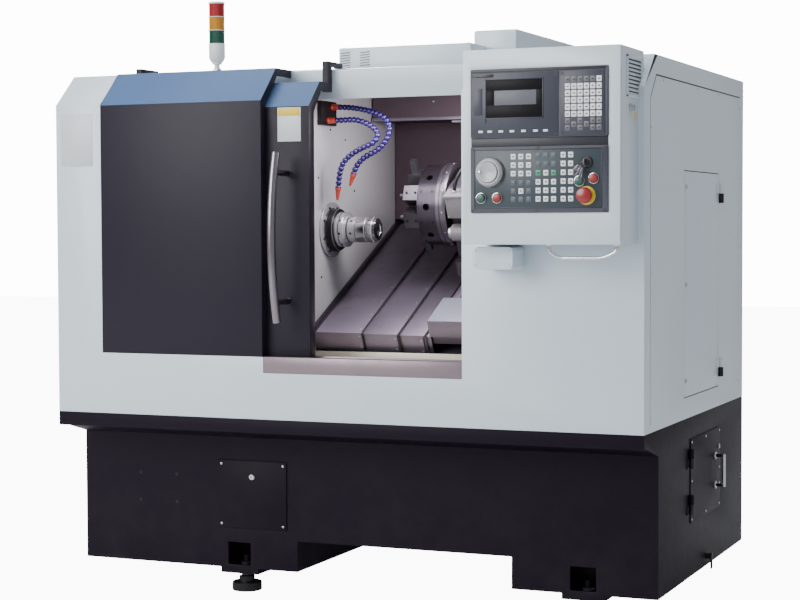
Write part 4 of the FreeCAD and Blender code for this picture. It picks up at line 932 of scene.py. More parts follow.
def makeOperatorPanel():
    edge = {"left": 1507, "right": 1881, "low": 1222, "high": 1387, "wide": 3}
    film = Build(plastic["film"], plastic["panelDark"])
    film.box((1511, panelFront - 0.4, 1226), (1877, panelFront + 0.2, 1384), 0, 0.2)
    left, right, low, high, wide = (edge[key] for key in ("left", "right", "low", "high", "wide"))
    for foot, top in (((left, high - wide), (right, high)), ((left, low), (right, low + wide)),
                      ((left, low), (left + wide, high)), ((right - wide, low), (right, high))):
        film.box((foot[0], panelFront - 0.9, foot[1]), (top[0], panelFront + 0.2, top[1]), 1, 0.3)
    film.piece("keyFilm", "root", "panel_plastic")
    spots = [(onPanel(x, z), front)
             for x, z in ((1503, 1389), (1697, 1390.5), (1889, 1389), (1503, 1216), (1693, 1216), (1889, 1216))]
    screws("operatorScrews", flatScrew, plastic["black"], spots, size=0.85)
    collars = Build(metal["chrome"], plastic["yellow"], plastic["black"], plastic["panelDark"])
    for name in ("start_button", "hold_button", "power_on_button", "power_off_button"):
        collars.lathe([(13, 0), (15.8, 0), (15.8, 3), (14.9, 4.6), (13.8, 4.8), (13, 3.6), (13, 0)],
                      onPanel(*controls[name], 0.2), "-Y", 0, 32)
    collars.lathe([(13.2, 0), (26, 0), (26, 1.2),
                   (25.4, 1.6), (18, 1.6), (17, 4), (14, 5), (13.2, 5), (13.2, 0)],
                  onPanel(*controls["emergency_stop"], 0.2), "-Y", 1, 48)
    collars.lathe([(13.2, 0), (44, 0), (44, 1.4), (43, 2), (13.2, 2), (13.2, 0)],
                  onPanel(*controls["handwheel"], 0.2), "-Y", 3, 64)
    collars.lathe([(8.3, 0), (17, 0), (17, 4), (15, 6), (14.1, 7), (8.3, 7), (8.3, 0)],
                  onPanel(*controls["key_switch"], 0.2), "-Y", 2, 32)
    collars.piece("buttonCollars", "root", "chrome")


def makeButtons():
    caps = {"start_button": "green", "hold_button": "red",
            "power_on_button": "green", "power_off_button": "red"}
    profile = [(0, -30), (8.8, -30), (8.8, 5),
               (12, 5), (12.4, 6), (12.4, 9.6), (11.4, 11), (6, 11.5), (0, 11.6)]
    for node, finish in caps.items():
        build = Build(plastic[finish]).lathe(profile, onPanel(*controls[node]), "-Y", 0, 36)
        build.piece(node + "_cap", node, finish + "_button", (node,))
    stop = Build(plastic["red"])
    stop.lathe([(0, -30), (8.8, -30), (8.8, 15), (12, 16), (12.6, 17.5), (18.5, 18.5),
                (21.6, 20), (22.4, 23), (22, 28), (20, 31.6), (15, 33.4), (0, 33.9)],
               onPanel(*controls["emergency_stop"]), "-Y", 0, 48)
    stop.piece("emergencyStopHead", "emergency_stop", "red_button", ("emergency_stop",))


def makeHandwheel():
    x, z = controls["handwheel"]
    hub = onPanel(x, z)
    upright = (math.pi / 2, 0, 0)
    build = Build(plastic["knob"], metal["chrome"], plastic["black"])
    build.lathe([(0, -30), (11.8, -30), (11.8, 6), (37, 6), (39.2, 7),
                 (39.4, 10), (37.2, 14), (35.6, 18.6), (34, 20), (30.2, 20), (0, 19.6)], hub, "-Y", 0, 64)
    build.lathe([(0, 19), (28.6, 19), (28.6, 23.6), (27.6, 24.8), (24, 25), (23, 24.4), (0, 24.4)],
                hub, "-Y", 0, 64)
    build.lathe([(28.6, 19), (30.4, 19), (30.4, 20.4), (28.6, 20.4), (28.6, 19)], hub, "-Y", 2, 64)
    build.prism([onPanel(x - 28.4, z + shift, 25.2) for shift in (-5, 5)] + [onPanel(x - 19, z, 25.2)],
                Vector((0, 0.0012, 0)), 2, 0)
    build.lathe([(0, 0), (5.6, 0), (5.2, 1.2), (4.2, 2), (4.2, 6), (3.2, 7), (0, 7.2)],
                onPanel(x - 22, z, 24.6), "-Y", 1, 20)
    build.piece("handwheelBody", "handwheel", "panel_plastic", ("handwheel",))
    outline = [Vector((0.0388, y, z))
               for y, z in ((-0.0009, 0.0066), (0.0009, 0.0066), (0.0009, 0.0104), (-0.0009, 0.0104))]
    rib = pattern("wheelRib", Build().prism(outline, Vector((0.0012, 0, 0)), 0, 0.2))
    ring.grow("handwheelRibs", "handwheel", "panel_plastic", piece=rib, count=60,
              radius=onAxis, centre=hub, turn=upright, finish=plastic["knob"])
    outline = [Vector((x, y, 0))
               for x, y in ((0.0405, -0.0002), (0.0432, -0.0002), (0.0432, 0.0002), (0.0405, 0.0002))]
    tick = pattern("dialTick", Build().prism(outline, Vector((0, 0, 0.0003)), 0, 0))
    ring.grow("dialTicks", "root", "panel_plastic", piece=tick, count=100, radius=onAxis,
              centre=onPanel(*controls["handwheel"], 2.1), turn=upright, finish=plastic["keyWhite"])


def makeKeySwitch():
    x, z = controls["key_switch"]
    middle = onPanel(x, z)
    build = Build(metal["holder"], plastic["black"])
    build.lathe([(0, -22), (7.8, -22), (7.8, 6), (11.5, 7), (12.6, 8), (0, 8.2)], middle, "-Y", 1, 28)
    build.lathe([(0, 7.5), (7, 7.5), (6.6, 9), (0, 9.2)], middle, "-Y", 0, 24)
    build.box((x - 1.2, panelFront - 29, z - 9), (x + 1.2, panelFront - 8, z + 8), 0, 0.4)
    for lean, drop, shift in ((0.5, 8, -14), (0.2, 12, -8), (0.85, 4, -22)):
        turn = Matrix.Rotation(lean, 4, "Y")
        head = Vector((x + shift, panelFront - 25 + shift * 0.05, z - 22))
        foot = Vector((head.x, head.y, head.z - drop))
        build.box(foot - Vector((4.6, 0.8, 0)), foot + Vector((4.6, 0.8, 20)), 0, 0.5, turn)
        build.box(foot - Vector((1.8, 0.6, 16)), foot + Vector((1.8, 0.6, 2)), 0, 0.4, turn)
    loop = [onPanel(x - 6 + 8 * math.cos(a), z - 8 + 8 * math.sin(a), 25)
            for a in [math.tau * k / 12 for k in range(13)]]
    build.tube(loop, 0.9, 0, 8, 4)
    build.piece("keySwitchKeys", "key_switch", "machined_steel", ("key_switch",))


makeScreen()
makeKeys()
makeOperatorPanel()
makeButtons()
makeHandwheel()
makeKeySwitch()
print("control panel made")

# spindle nose, turret and way covers

spindleLine = {"back": 376, "high": 1162}


def makeSpindle():
    axis = at(0, spindleLine["back"], spindleLine["high"])
    cap = Build(metal["bright"])
    cap.lathe([(69, 801), (88.6, 801), (89.4, 802.5), (89.4, 807), (88.4, 808.4),
               (81, 808.8), (80.4, 808.1), (70.4, 808.1), (69, 807), (69, 801)], axis, "X", 0, 96)
    cap.piece("spindleCap", "root", "machined_steel")
    bolts = {"face": 808.2, "circle": 75, "count": 8}
    spots = [(axis + Vector((bolts["face"],
                             bolts["circle"] * math.cos(a), bolts["circle"] * math.sin(a))) / 1000, right)
             for a in [math.tau * (k + 0.5) / bolts["count"] for k in range(bolts["count"])]]
    screws("spindleCapBolts", capScrew, metal["blackOxide"], spots, size=0.8)
    nose = Build(metal["bright"], metal["chrome"], metal["blackOxide"])
    nose.lathe([(50, 809.5), (66, 809.5), (67.4, 811),
                (67.4, 831.6), (65.6, 834.2), (56, 834.6), (50, 834.6), (50, 809.5)], axis, "X", 2, 96)
    nose.lathe([(41, 834), (55.4, 834), (56.4, 835.4), (56.4, 846), (55.4, 846.6), (55.4, 848.4),
                (56.4, 849), (56.4, 860.8), (54.6, 862.6), (41, 862.8), (41, 834)], axis, "X", 0, 96)
    nose.lathe([(38, 862), (44, 862), (44, 868), (40.6, 870), (40.6, 898), (39.2, 899), (39.2, 901),
                (40.6, 902), (40.6, 934), (38.6, 936), (38.6, 938),
                (40.8, 939), (40.8, 957.6), (39, 960.2), (38, 960.2), (38, 862)], axis, "X", 0, 96)
    # painted shade: this thin black-oxide ring and the one on the r56 ring stand for the dark bands of
    # reflection and shade on the polished nose
    nose.lathe([(39, 870.2), (41.2, 870.2), (41.2, 874), (39, 874), (39, 870.2)], axis, "X", 2, 96)
    nose.lathe([(39, 903), (41.1, 903), (41.1, 932), (39, 932), (39, 903)], axis, "X", 1, 96)
    # painted shade: a dark band of reflection on the r56 ring
    nose.lathe([(55, 848.6), (57, 849.6), (57, 851), (55, 851), (55, 848.6)], axis, "X", 2, 96)
    nose.lathe([(17.4, 958), (33, 958), (36.4, 961), (36.4, 965.6), (34.4, 967.3),
                (27, 967.6), (24, 969.4), (18.6, 969.4), (17.4, 967.4), (17.4, 958)], axis, "X", 1, 64)
    nose.piece("spindleNose", "spindle", "machined_steel")
    # painted shade: the holes are shallow black-oxide discs whose dark colour stands for the shade inside them
    holes = Build(metal["blackOxide"]).lathe([(0, -1), (4, -1), (4, 0.35), (3.6, 0.5), (0, 0.5)],
                                             origin, "Z", 0, 14)
    hole = pattern("noseHole", holes)
    for name, where, radius, count in (("noseHoles", 886, 40.6, 6), ("ringHoles", 854, 56.4, 8)):
        spots = [(axis + Vector((where, radius * math.cos(a), radius * math.sin(a))) / 1000,
                  Vector((0, math.cos(a), math.sin(a))))
                 for a in [math.tau * (k + 0.3) / count for k in range(count)]]
        screws(name, hole, metal["blackOxide"], spots, "spindle")
    lying = (0, math.pi / 2, 0)
    # painted shade: the slits are black-oxide strips whose dark colour stands for the shade in the open slits
    outline = [Vector((x, y, 0))
               for x, y in ((0.019, -0.0006), (0.035, -0.0006), (0.035, 0.0006), (0.019, 0.0006))]
    slit = pattern("colletSlit", Build().prism(outline, Vector((0, 0, 0.0024)), 0, 0))
    ring.grow("colletSlits", "spindle", "machined_steel", piece=slit, count=3, radius=onAxis,
              centre=axis + Vector((0.9665, 0, 0)), turn=lying, finish=metal["blackOxide"])
    outline = [Vector((0.0404, y, z))
               for y, z in ((-0.0007, 0), (0.0007, 0), (0.0007, 0.016), (-0.0007, 0.016))]
    tooth = pattern("noseTooth", Build().prism(outline, Vector((0.0010, 0, 0)), 0, 0))
    ring.grow("noseKnurl", "spindle", "machined_steel", piece=tooth, count=90, radius=onAxis,
              centre=axis + Vector((0.9405, 0, 0)), turn=lying, finish=metal["ground"])


def makeTurret():
    disc = {"u": 1027, "n": 880, "left": 1088, "radius": 130, "rimRows": (1101, 1139),
            "stations": range(0, 360, 45), "ring": 1176, "ringRadius": 135, "faceCircle": 46}
    holder = {"turns": (180, 135, 90, 0, -90), "face": 53, "middle": 27,
              "circle": 90, "along": 19, "across": 17, "top": 118, "topAlong": 15}
    slope, rise = disc["u"], disc["n"]

    def rim(x, angle, radius):
        across = upSlope * math.cos(angle) + offSlope * math.sin(angle)
        return onBed(x, slope, rise) + across * radius / 1000, across
    spots = [rim(x, math.radians(a), disc["radius"]) for a in disc["stations"] for x in disc["rimRows"]]
    screws("turretRimScrews", flatScrew, metal["blackOxide"], spots, "turret", size=0.9)
    screws("turretRingScrews", capScrew, metal["zinc"],
           [rim(disc["ring"], math.radians(a + 15), disc["ringRadius"]) for a in range(0, 360, 30)],
           "turret", size=0.55)
    face = [(rim(disc["left"], math.radians(a), disc["faceCircle"])[0], left) for a in disc["stations"]]
    screws("turretFaceBolts", capScrew, metal["blackOxide"], face, "turret")
    trim = Build(metal["holder"], metal["turret"])
    middle = onBed(0, slope, rise)
    trim.lathe([(120, 1152.4), (134.6, 1152.4), (135.5, 1153.6), (135.5, 1164), (134.4, 1165), (134.4, 1167),
                (135.5, 1168), (135.5, 1185.4), (134.4, 1187.2), (120, 1187.4), (120, 1152.4)],
               middle, "X", 0, 128)
    trim.lathe([(118, 1087.4), (127.6, 1087.4), (130.5, 1090.4), (130.5, 1093), (118, 1093), (118, 1087.4)],
               middle, "X", 1, 128)
    trim.lathe([(0, 1078), (24, 1078), (27, 1081), (27, 1084), (35, 1085), (35, 1089), (0, 1089)],
               middle, "X", 0, 64)
    trim.piece("turretTrim", "turret", "machined_steel")
    heads = []
    for turn in holder["turns"]:
        angle = math.radians(turn)
        side = upSlope * -math.sin(angle) + offSlope * math.cos(angle)
        for along in (-1, 1):
            foot = rim(disc["left"] - holder["face"], angle, holder["circle"] + holder["along"] * along)[0]
            for across in (-1, 1):
                heads.append((foot + side * holder["across"] * across / 1000, left))
            heads.append(rim(disc["left"] - holder["middle"] + holder["topAlong"] * along,
                             angle, holder["top"]))
    screws("holderScrews", capScrew, metal["blackOxide"], heads, "turret", size=0.75)


def makeCeiling():
    beam = {"left": 806, "right": 1396, "front": 700, "back": 905, "low": 1530, "high": 1636,
            "lampLeft": 1060, "lampRight": 1330, "screws": (1030, 1180, 1330)}
    build = Build(paint["cavity"], metal["cover"], plastic["lamp"])
    left, right, near, low = beam["left"], beam["right"], beam["front"], beam["low"]
    build.box((left, near, low), (right, beam["back"], beam["high"]), 0, 3)
    build.box((left, near - 3, low - 3), (right, near + 2, low + 9), 1, 1)
    build.box((beam["lampLeft"], 790, low - 7), (beam["lampRight"], 832, low), 2, 2)
    build.piece("ceilingBeam", "root", "interior_paint")
    heads = [(at(x, near, 1590), front) for x in beam["screws"]]
    screws("beamScrews", panScrew, metal["zinc"], heads, size=0.9)


def makeTurretDrive():
    # the junction box, indexing motor and cables on the near side of the housing
    drive = {"boxLeft": 1203, "boxRight": 1322, "boxNear": 872, "boxFar": 926, "boxLow": 905, "lid": 978,
             "motor": (1204, 893, 846), "cables": (1230, 1262, 1296), "cableRow": 896}
    near, far, lid, line = drive["boxNear"], drive["boxFar"], drive["lid"], drive["cableRow"]
    build = Build(plastic["cream"], paint["casting"], plastic["rubber"], metal["zinc"])
    build.slab((drive["boxLeft"], near, drive["boxLow"]), (drive["boxRight"], far, lid), 0, 3)
    build.slab((drive["boxLeft"] - 4, near - 3, lid - 4), (drive["boxRight"] + 4, far, lid + 6), 0, 2)
    build.slab((1212, far - 0.5, 760), (1380, far + 2.5, 880), 1, 1)
    build.lathe([(0, 0), (26, 0), (28, 2), (28, 64),
                 (26, 66), (24, 66), (24, 70), (28, 71), (28, 108), (25, 112), (0, 112)],
                onBed(*drive["motor"]), "X", 0, 40)
    build.lathe([(0, -12), (16, -12), (18, -10), (18, 2), (0, 2)], onBed(*drive["motor"]), "X", 3, 32)
    for index, start in enumerate(drive["cables"]):
        route = [onBed(start, line, lid), onBed(start + 4, line, lid + 40), onBed(start + 40, 930, lid + 90),
                 onBed(start + 90, 990, lid + 60 + 10 * index), onBed(1398, 1060, 1000 + 14 * index)]
        build.tube(route, 6 - index * 0.8, 2, 12, 8)
        build.lathe([(0, 0), (10, 0), (10, 8), (8, 12), (6.5, 14), (0, 14)],
                    onBed(start, line, lid + 2), Matrix.Rotation(bedSlope, 4, "X"), 3, 6)
    route = [onBed(1316, 893, 846), onBed(1350, 893, 850), onBed(1372, 900, 900), onBed(1376, 930, 1000)]
    build.tube(route, 7, 2, 12, 8)
    build.piece("turretDrive", "slide", "cast_iron")
    heads = [(onBed(x, near, n), -upSlope) for x in (1210, 1315) for n in (912, 966)]
    screws("junctionScrews", panScrew, metal["zinc"], heads, "slide", size=0.8)
    heads = [(onBed(x, u, 985), offSlope) for x in (1215, 1380) for u in (945, 1030, 1120)]
    screws("housingBolts", capScrew, metal["blackOxide"], heads, "slide", size=1.2)


def makeCovers():
    # each cover's body, its right edge and the height of its top
    covers = {"coverOne": ("root", 975, 652), "coverTwo": ("cover_two", 1096, 646),
              "coverThree": ("cover_three", 1183, 640)}
    saddleTray = {"left": 1200, "right": 1498, "near": 585, "far": 736, "top": 694}
    for name, (body, end, top) in covers.items():
        build = Build(plastic["rubber"])
        build.slab((end - 5, 577, top - 1), (end + 0.4, 1372, top + 0.7), 0, 0.3)
        build.slab((end - 5, 572.4, top - 62), (end + 0.4, 574.4, top - 1), 0, 0.3)
        build.piece(name + "Wiper", body, "belt_rubber")
        heads = [(onBed(end - 16, u, top), offSlope) for u in range(600, 1360, 94)]
        heads += [(onBed(end - 12, 573, top - drop), -upSlope) for drop in (12, 50)]
        screws(name + "Screws", flatScrew, metal["zinc"], heads, body, size=0.5)
    lip = Build(paint["tray"])
    lip.box((804, 243, 745), (1396, 246, 777), 0, 0.6)
    lip.piece("trayLip", "root", "interior_paint")
    joint = Build(metal["turret"])
    joint.slab((800.8, 574, 650), (814, 1375, 669), 0, 1.5)
    joint.piece("wallStrip", "root", "cast_iron")
    bolts = [(at(801, y, z), right)
             for y, z in ((283, 1519), (373, 1485), (489, 1457), (281, 1328),
                          (304, 840), (420, 940), (560, 1010), (560, 1290), (300, 1010))]
    screws("wallBolts", panScrew, metal["blackOxide"], bolts, size=0.8)
    trayTop = Build(metal["tray"])
    trayTop.slab((saddleTray["left"], saddleTray["near"], saddleTray["top"] - 1.4),
                 (saddleTray["right"], saddleTray["far"], saddleTray["top"]), 0, 0.5)
    trayTop.piece("saddleTrayTop", "carriage", "machined_steel")
    heads = [(onBed(x, u, saddleTray["top"]), offSlope) for x in (1214, 1340, 1460) for u in (598, 722)]
    screws("trayScrews", flatScrew, metal["zinc"], heads, "carriage", size=0.7)


makeSpindle()
makeTurret()
makeCeiling()
makeTurretDrive()
makeCovers()
print("spindle, turret and covers made")


# doors and panels

def makeDoorFittings():
    door = {"face": 36, "screws": (800, 1030, 1250, 1471), "handle": (943, 1336)}
    plate = Build(plastic["plate"], plastic["yellow"])
    plate.box((780, 35.3, 1434), (859, 36.2, 1538), 0, 0.2)
    plate.box((782, 35.1, 1512), (857, 35.6, 1536), 1, 0.1)
    plate.piece("doorBlankPlate", "door", "panel_plastic")
    panel = Build(plastic["plate"])
    panel.box((20, -0.7, 1367), (138, 0.2, 1536), 0, 0.3)
    panel.piece("panelBlankPlate", "root", "panel_plastic")
    heads = [(at(876, door["face"], z), front) for z in door["screws"]]
    screws("doorScrews", panScrew, metal["blackOxide"], heads, "door", size=0.8)
    flanges = Build(metal["blackOxide"])
    for z in door["handle"]:
        flanges.lathe([(0, 0), (11.5, 0), (11.5, 2), (10, 3), (0, 3)], at(815, door["face"], z), "-Y", 0, 32)
    flanges.piece("handleFlanges", "door", "stainless")
    seams = Build(plastic["rubber"])
    seams.box((165, 1, 770), (168.5, 4, 1560), 0, 0.3)
    seams.box((165, 1, 769), (742, 4, 772.5), 0, 0.3)
    seams.piece("coverSeal", "root", "belt_rubber")


def makeSide():
    side = 1950
    panel = {"front": 62, "top": 1536, "roofFront": 124, "roofBack": 1212, "seam": 1603, "foot": 600}
    door = {"hinges": (1274, 706), "locks": (1289, 991, 695), "lockLine": 474}
    baseDoor = {"face": 1953, "gripLine": 853, "lockLine": 905}
    seam = Build(plastic["rubber"], metal["blackOxide"])
    seam.box((side - 1, panel["roofFront"], panel["seam"]),
             (side + 0.5, panel["roofBack"], panel["seam"] + 4), 0, 0.2)
    corner = [at(side - 1, y, z) for y, z in ((124, 1606), (62, 1537), (64.5, 1535), (126, 1602.6))]
    seam.prism(corner, Vector((0.0015, 0, 0)), 0, 0)
    seam.box((side - 1, panel["front"], panel["foot"]), (side + 0.4, panel["front"] + 2, panel["top"]), 0, 0.2)
    for z in door["hinges"]:
        seam.box((side, 921, z - 26), (side + 4, 962, z + 26), 1, 1.2)
    seam.piece("sideSeams", "root", "belt_rubber")
    locks = Build(metal["zinc"], metal["blackOxide"])
    for z in door["locks"]:
        y = door["lockLine"]
        locks.lathe([(0, 0), (8, 0), (8, 2), (6.6, 3.4), (0, 3.4)], at(side, y, z), "X", 0, 24)
        locks.box((side + 3.2, y - 6, z - 1), (side + 4, y + 6, z + 1), 1, 0.2)
    locks.piece("sideDoorLocks", "side_door", "machined_steel")
    spots = [(at(side, y, z), right)
             for y, z in ((206, 1595), (617, 1596), (1210, 1569), (69, 1453), (65, 1035),
                          (64, 620), (1203, 1095), (1203, 640), (900, 1596), (1205, 1330))]
    screws("sideScrews", panScrew, metal["zinc"], spots, size=0.9)
    heads = [(at(side + 4, y, z + shift), right)
             for z in door["hinges"] for shift in (-17, 0, 17) for y in (942, 954)]
    screws("hingeScrews", panScrew, metal["blackOxide"], heads, size=0.6)
    spots = [(at(0, y, z), left) for y in (66, 640, 1205) for z in (640, 1100, 1560)]
    spots += [(at(0, y, 1595), left) for y in (206, 430, 850)]
    screws("leftSideScrews", flatScrew, metal["zinc"], spots, size=0.9)
    seam = Build(plastic["rubber"])
    seam.box((-0.5, panel["roofFront"], panel["seam"]), (1, panel["roofBack"], panel["seam"] + 4), 0, 0.2)
    seam.box((-0.4, panel["front"], panel["foot"]), (1, panel["front"] + 2, panel["top"]), 0, 0.2)
    seam.piece("leftSeams", "root", "belt_rubber")
    profile = [(24, -9), (29.7, -9), (29.7, 0.1), (42, 0.1), (42, 0.5), (41, 0.8), (25, 0.8), (24, 0), (24, -9)]
    feed = Build(metal["zinc"]).lathe(profile, at(0, spindleLine["back"], spindleLine["high"]), "-X", 0, 64)
    feed.piece("barFeedRing", "root", "machined_steel")
    grip = Build(metal["zinc"], metal["blackOxide"])
    face = baseDoor["face"]
    for z in (326, 422):
        grip.lathe([(0, 0), (13, 0), (13, 3), (11, 5), (0, 5)], at(face, baseDoor["gripLine"], z), "X", 0, 28)
    grip.lathe([(0, 0), (5.6, 0), (6.56, 1), (6.56, 107), (5.6, 108), (0, 108)],
               at(face + 29, baseDoor["gripLine"], 320), "Z", 0, 28)
    for z in (447, 323):
        y = baseDoor["lockLine"]
        grip.lathe([(0, 0), (8, 0), (8, 2.4), (6.6, 3.6), (0, 3.6)], at(face, y, z), "X", 0, 24)
        grip.box((face + 3.4, y - 6, z - 1), (face + 4.2, y + 6, z + 1), 1, 0.2)
    grip.piece("baseDoorFittings", "base_door", "machined_steel")


def makeBoxSide():
    side = 1931
    louvre = {"front": -117, "back": 31, "low": 1528,
              "high": 1645, "wide": 7, "inset": 4, "blades": 10, "pitch": 0.011}
    near, rear, low, high, wide = (louvre[key] for key in ("front", "back", "low", "high", "wide"))
    inset = louvre["inset"]
    trim = Build(paint["white"], plastic["black"])
    # painted shade: the black plate behind the blades stands for the shade inside the vent
    trim.box((side - 0.5, near + inset, low + inset), (side + 0.6, rear - inset, high - inset), 1, 0.1)
    for foot, top in (((near, low), (rear, low + wide)), ((near, high - wide), (rear, high)),
                      ((near, low), (near + wide, high)), ((rear - wide, low), (rear, high))):
        trim.box((side - 0.5, *foot), (side + 4, *top), 0, 0.8)
    trim.piece("louvreFrame", "root", "white_paint")
    outline = [Vector((x, 0, z))
               for x, z in ((0, 0.0062), (0.0006, 0.0078), (0.0042, 0.0012), (0.0034, 0.0002))]
    blade = pattern("louvreBlade", Build().prism(outline, Vector((0, 0.134, 0)), 0, 0.15))
    row.grow("louvreBlades", "root", "white_paint", piece=blade, count=louvre["blades"],
             start=at(side, near + wide, low + wide), step=(0, 0, louvre["pitch"]), finish=paint["white"])
    lock = Build(metal["zinc"], plastic["yellow"])
    y, z = -80, 1500
    lock.lathe([(0, -6), (9, -6), (11.4, 0), (11.4, 2), (9.6, 4), (8.4, 4), (8.4, 12), (0, 13)],
               at(side, y, z), "X", 0, 32)
    lock.box((side + 12, y - 1, z - 7), (side + 16, y + 1, z + 7), 0, 0.3)
    lock.box((side + 13.4, y - 6, z - 38), (side + 15, y + 6, z - 12), 1, 0.6)
    lock.piece("boxLock", "box_key", "machined_steel", ("box_key",))
    bottom = 1121
    seam = Build(plastic["rubber"])
    seam.box((side - 0.6, -174, bottom + 6), (side + 0.3, -172, 1600), 0, 0.1)
    seam.piece("boxSeams", "root", "belt_rubber")
    nuts = Build(metal["chrome"])
    for x in (1718, 1913):
        nuts.lathe([(0, 0), (11, 0), (11, 2), (9.6, 4), (0, 4)], at(x, -150, bottom), "-Z", 0, 28)
    nuts.piece("boxHandleFlanges", "root", "chrome")
    heads = [(at(x, -110, 1081 + shift), front) for x in (1484, 1586) for shift in (-20, 20)]
    screws("cableBoxScrews", panScrew, metal["zinc"], heads, size=0.7)


def makeRoof():
    vent = {"front": 349.2, "low": 1676, "top": 1744, "slots": 7, "pitch": 0.0082}
    roof = {"top": 1664, "hoodTop": 1797, "front": 145, "back": 1268, "seams": (700, 1440)}
    # painted shade: grey slivers on the vent face stand for the shade in the vent slots
    outline = [Vector((x, 0, z)) for x, z in ((0, 0), (0.034, 0.003), (0.034, 0.006), (0, 0.003))]
    slot = pattern("ventSlot", Build().prism(outline, Vector((0, 0.0011, 0)), 0, 0.2))
    for name, x in (("ventSlotsLeft", 850), ("ventSlotsRight", 918)):
        row.grow(name, "root", "white_paint", piece=slot, count=vent["slots"],
                 start=at(x, vent["front"], vent["low"]), step=(0, 0, vent["pitch"]), finish=plastic["keyGrey"])
    heads = [(at(x, y, vent["top"]), up) for x in (856, 1070, 1284) for y in (362, 478)]
    screws("ventScrews", panScrew, metal["zinc"], heads, size=0.9)
    heads = [(at(x, y, roof["hoodTop"]), up) for x in (1263, 1381) for y in (540, 740, 940, 1100)]
    screws("hoodScrews", panScrew, metal["zinc"], heads, size=0.9)
    heads = [(at(x, y, roof["top"]), up) for x in (60, 500, 1450, 1890) for y in (130, 700, 1250)]
    screws("roofScrews", panScrew, metal["zinc"], heads, size=0.9)
    seams = Build(plastic["rubber"])
    for x in roof["seams"]:
        seams.box((x - 1, roof["front"], roof["top"] - 0.5), (x + 1, roof["back"], roof["top"] + 0.5), 0, 0.2)
    seams.piece("roofSeams", "root", "belt_rubber")


def makeRear():
    rear = 1271
    heads = [(at(x, rear, z), back) for x in (30, 480, 975, 1470, 1920) for z in (600, 1100, 1640)]
    screws("rearScrews", flatScrew, metal["zinc"], heads, size=0.9)
    outline = [Vector((0, y, z))
               for y, z in ((-0.0055, 0.0002), (0.0009, 0.0064), (0.0009, 0.0078), (-0.0055, 0.002))]
    blade = pattern("rearBlade", Build().prism(outline, Vector((0.34, 0, 0)), 0, 0.3))
    row.grow("rearLouvres", "root", "white_paint", piece=blade, count=9,
             start=at(1300, rear, 1241), step=(0, 0, 0.022), finish=paint["white"])
    hatch = Build(paint["white"], plastic["rubber"], metal["zinc"])
    hatch.box((240, rear - 0.4, 700), (900, rear + 0.9, 1500), 0, 0.4)
    hatch.box((236, rear - 0.4, 696), (904, rear + 0.3, 1504), 1, 0.1)
    for z in (760, 1440):
        for x in (262, 878):
            hatch.lathe([(0, -2), (9, -2), (9, 0), (8.4, 0.4), (1.4, 0.4), (1.2, -0.4), (0, -0.4)],
                        at(x, rear + 0.7, z), "Y", 2, 24)
    for x in (1080, 1140, 1200):
        hatch.lathe([(0, -3), (15, -3), (15, 0.4), (14, 0.9), (9, 0.9), (8, 0.2), (0, 0.2)],
                    at(x, rear, 660), "Y", 1, 28)
    hatch.piece("rearHatch", "root", "white_paint")


makeDoorFittings()
makeSide()
makeBoxSide()
makeRoof()
makeRear()
print("doors, sides, roof and rear made")


for made in patterns:
    bpy.data.objects.remove(made)


# floor, light and camera

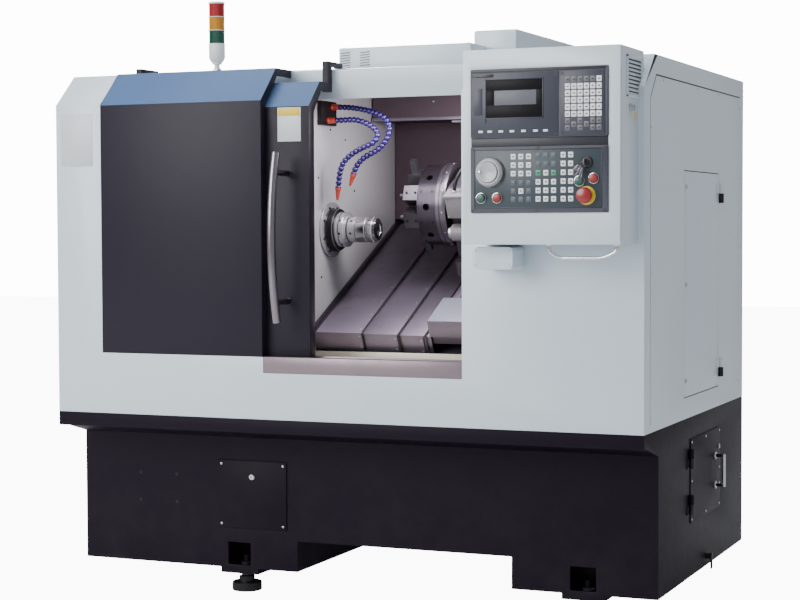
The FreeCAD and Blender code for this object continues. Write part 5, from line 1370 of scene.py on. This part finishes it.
def makeStage():
    # dim light all round, with a white room to look at
    room = {"size": 40, "light": 0.6, "wall": 14, "glow": 0.75}
    bpy.ops.mesh.primitive_plane_add(size=room["size"], location=(0, 0, -0.001))
    floor = bpy.context.object
    floor.name = "studioFloor"
    f = Finish("studioPaper")
    matt = f.node("ShaderNodeBsdfDiffuse", {}, {"Color": (0.88, 0.88, 0.88, 1)})
    glow = f.node("ShaderNodeEmission", {}, {"Color": (1, 1, 1, 1), "Strength": room["wall"]})
    share = f.node("ShaderNodeLightPath", {}, {}, "Is Camera Ray") * room["glow"]
    f.show(f.node("ShaderNodeMixShader", {}, {0: share, 1: matt, 2: glow}), "ShaderNodeOutputMaterial")
    floor.data.materials.append(f.material)
    world = bpy.data.worlds.new("studioWorld")
    world.use_nodes = True
    world.node_tree.nodes.clear()
    g = Graph(world.node_tree)
    light = g.node("ShaderNodeBackground", {}, {"Color": (0.94, 0.96, 1, 1), "Strength": room["light"]})
    wall = g.node("ShaderNodeBackground", {}, {"Color": (1, 1, 1, 1), "Strength": room["wall"]})
    seen = g.node("ShaderNodeLightPath", {}, {}, "Is Camera Ray")
    g.show(g.node("ShaderNodeMixShader", {}, {0: seen, 1: light, 2: wall}), "ShaderNodeOutputWorld")
    bpy.context.scene.world = world


def softbox(name, where, towards, width, height, power, colour=(1, 1, 1)):
    data = bpy.data.lights.new(name, "AREA")
    data.shape = "RECTANGLE"
    data.size = width
    data.size_y = height
    data.energy = power
    data.color = colour
    lamp = stand(name, data)
    lamp.location = where
    lamp.rotation_euler = (Vector(towards) - Vector(where)).to_track_quat("-Z", "Y").to_euler()


def makeCamera():
    view = {"place": (2.3431, -5.5746, 1.182), "yaw": 0.4004, "pitch": 0.0417, "roll": -0.004, "lens": 82.85}
    data = bpy.data.cameras.new("studioCamera")
    data.lens = view["lens"]
    data.clip_end = 60
    camera = stand("studioCamera", data)
    camera.location = view["place"]
    level = math.cos(view["pitch"])
    heading = Vector((-math.sin(view["yaw"]) * level, math.cos(view["yaw"]) * level, -math.sin(view["pitch"])))
    turn = heading.to_track_quat("-Z", "Y").to_matrix().to_4x4() @ Matrix.Rotation(view["roll"], 4, "Z")
    camera.rotation_euler = turn.to_euler()
    bpy.context.scene.camera = camera


makeStage()
softbox("keySoftbox", (-2.6, -5.5, 3.0), (0, 0, 0.9), 3.5, 3.0, 320)
softbox("overheadSoftbox", (-0.6, -1.0, 5.0), (-0.2, -0.3, 0), 4.0, 3.0, 170, (0.93, 0.97, 1))
softbox("backSoftbox", (-1.5, 5.0, 3.2), (0, 0, 1), 3.0, 2.5, 70)
softbox("bayLamp", at(1290, 330, 1540), at(900, 620, 900), 0.3, 0.16, 4.5, (1, 0.96, 0.98))
softbox("bayFill", at(1060, 215, 1500), at(1000, 560, 760), 0.4, 0.12, 1.6, (1, 0.95, 0.98))
makeCamera()
print("stage, lights and camera made")
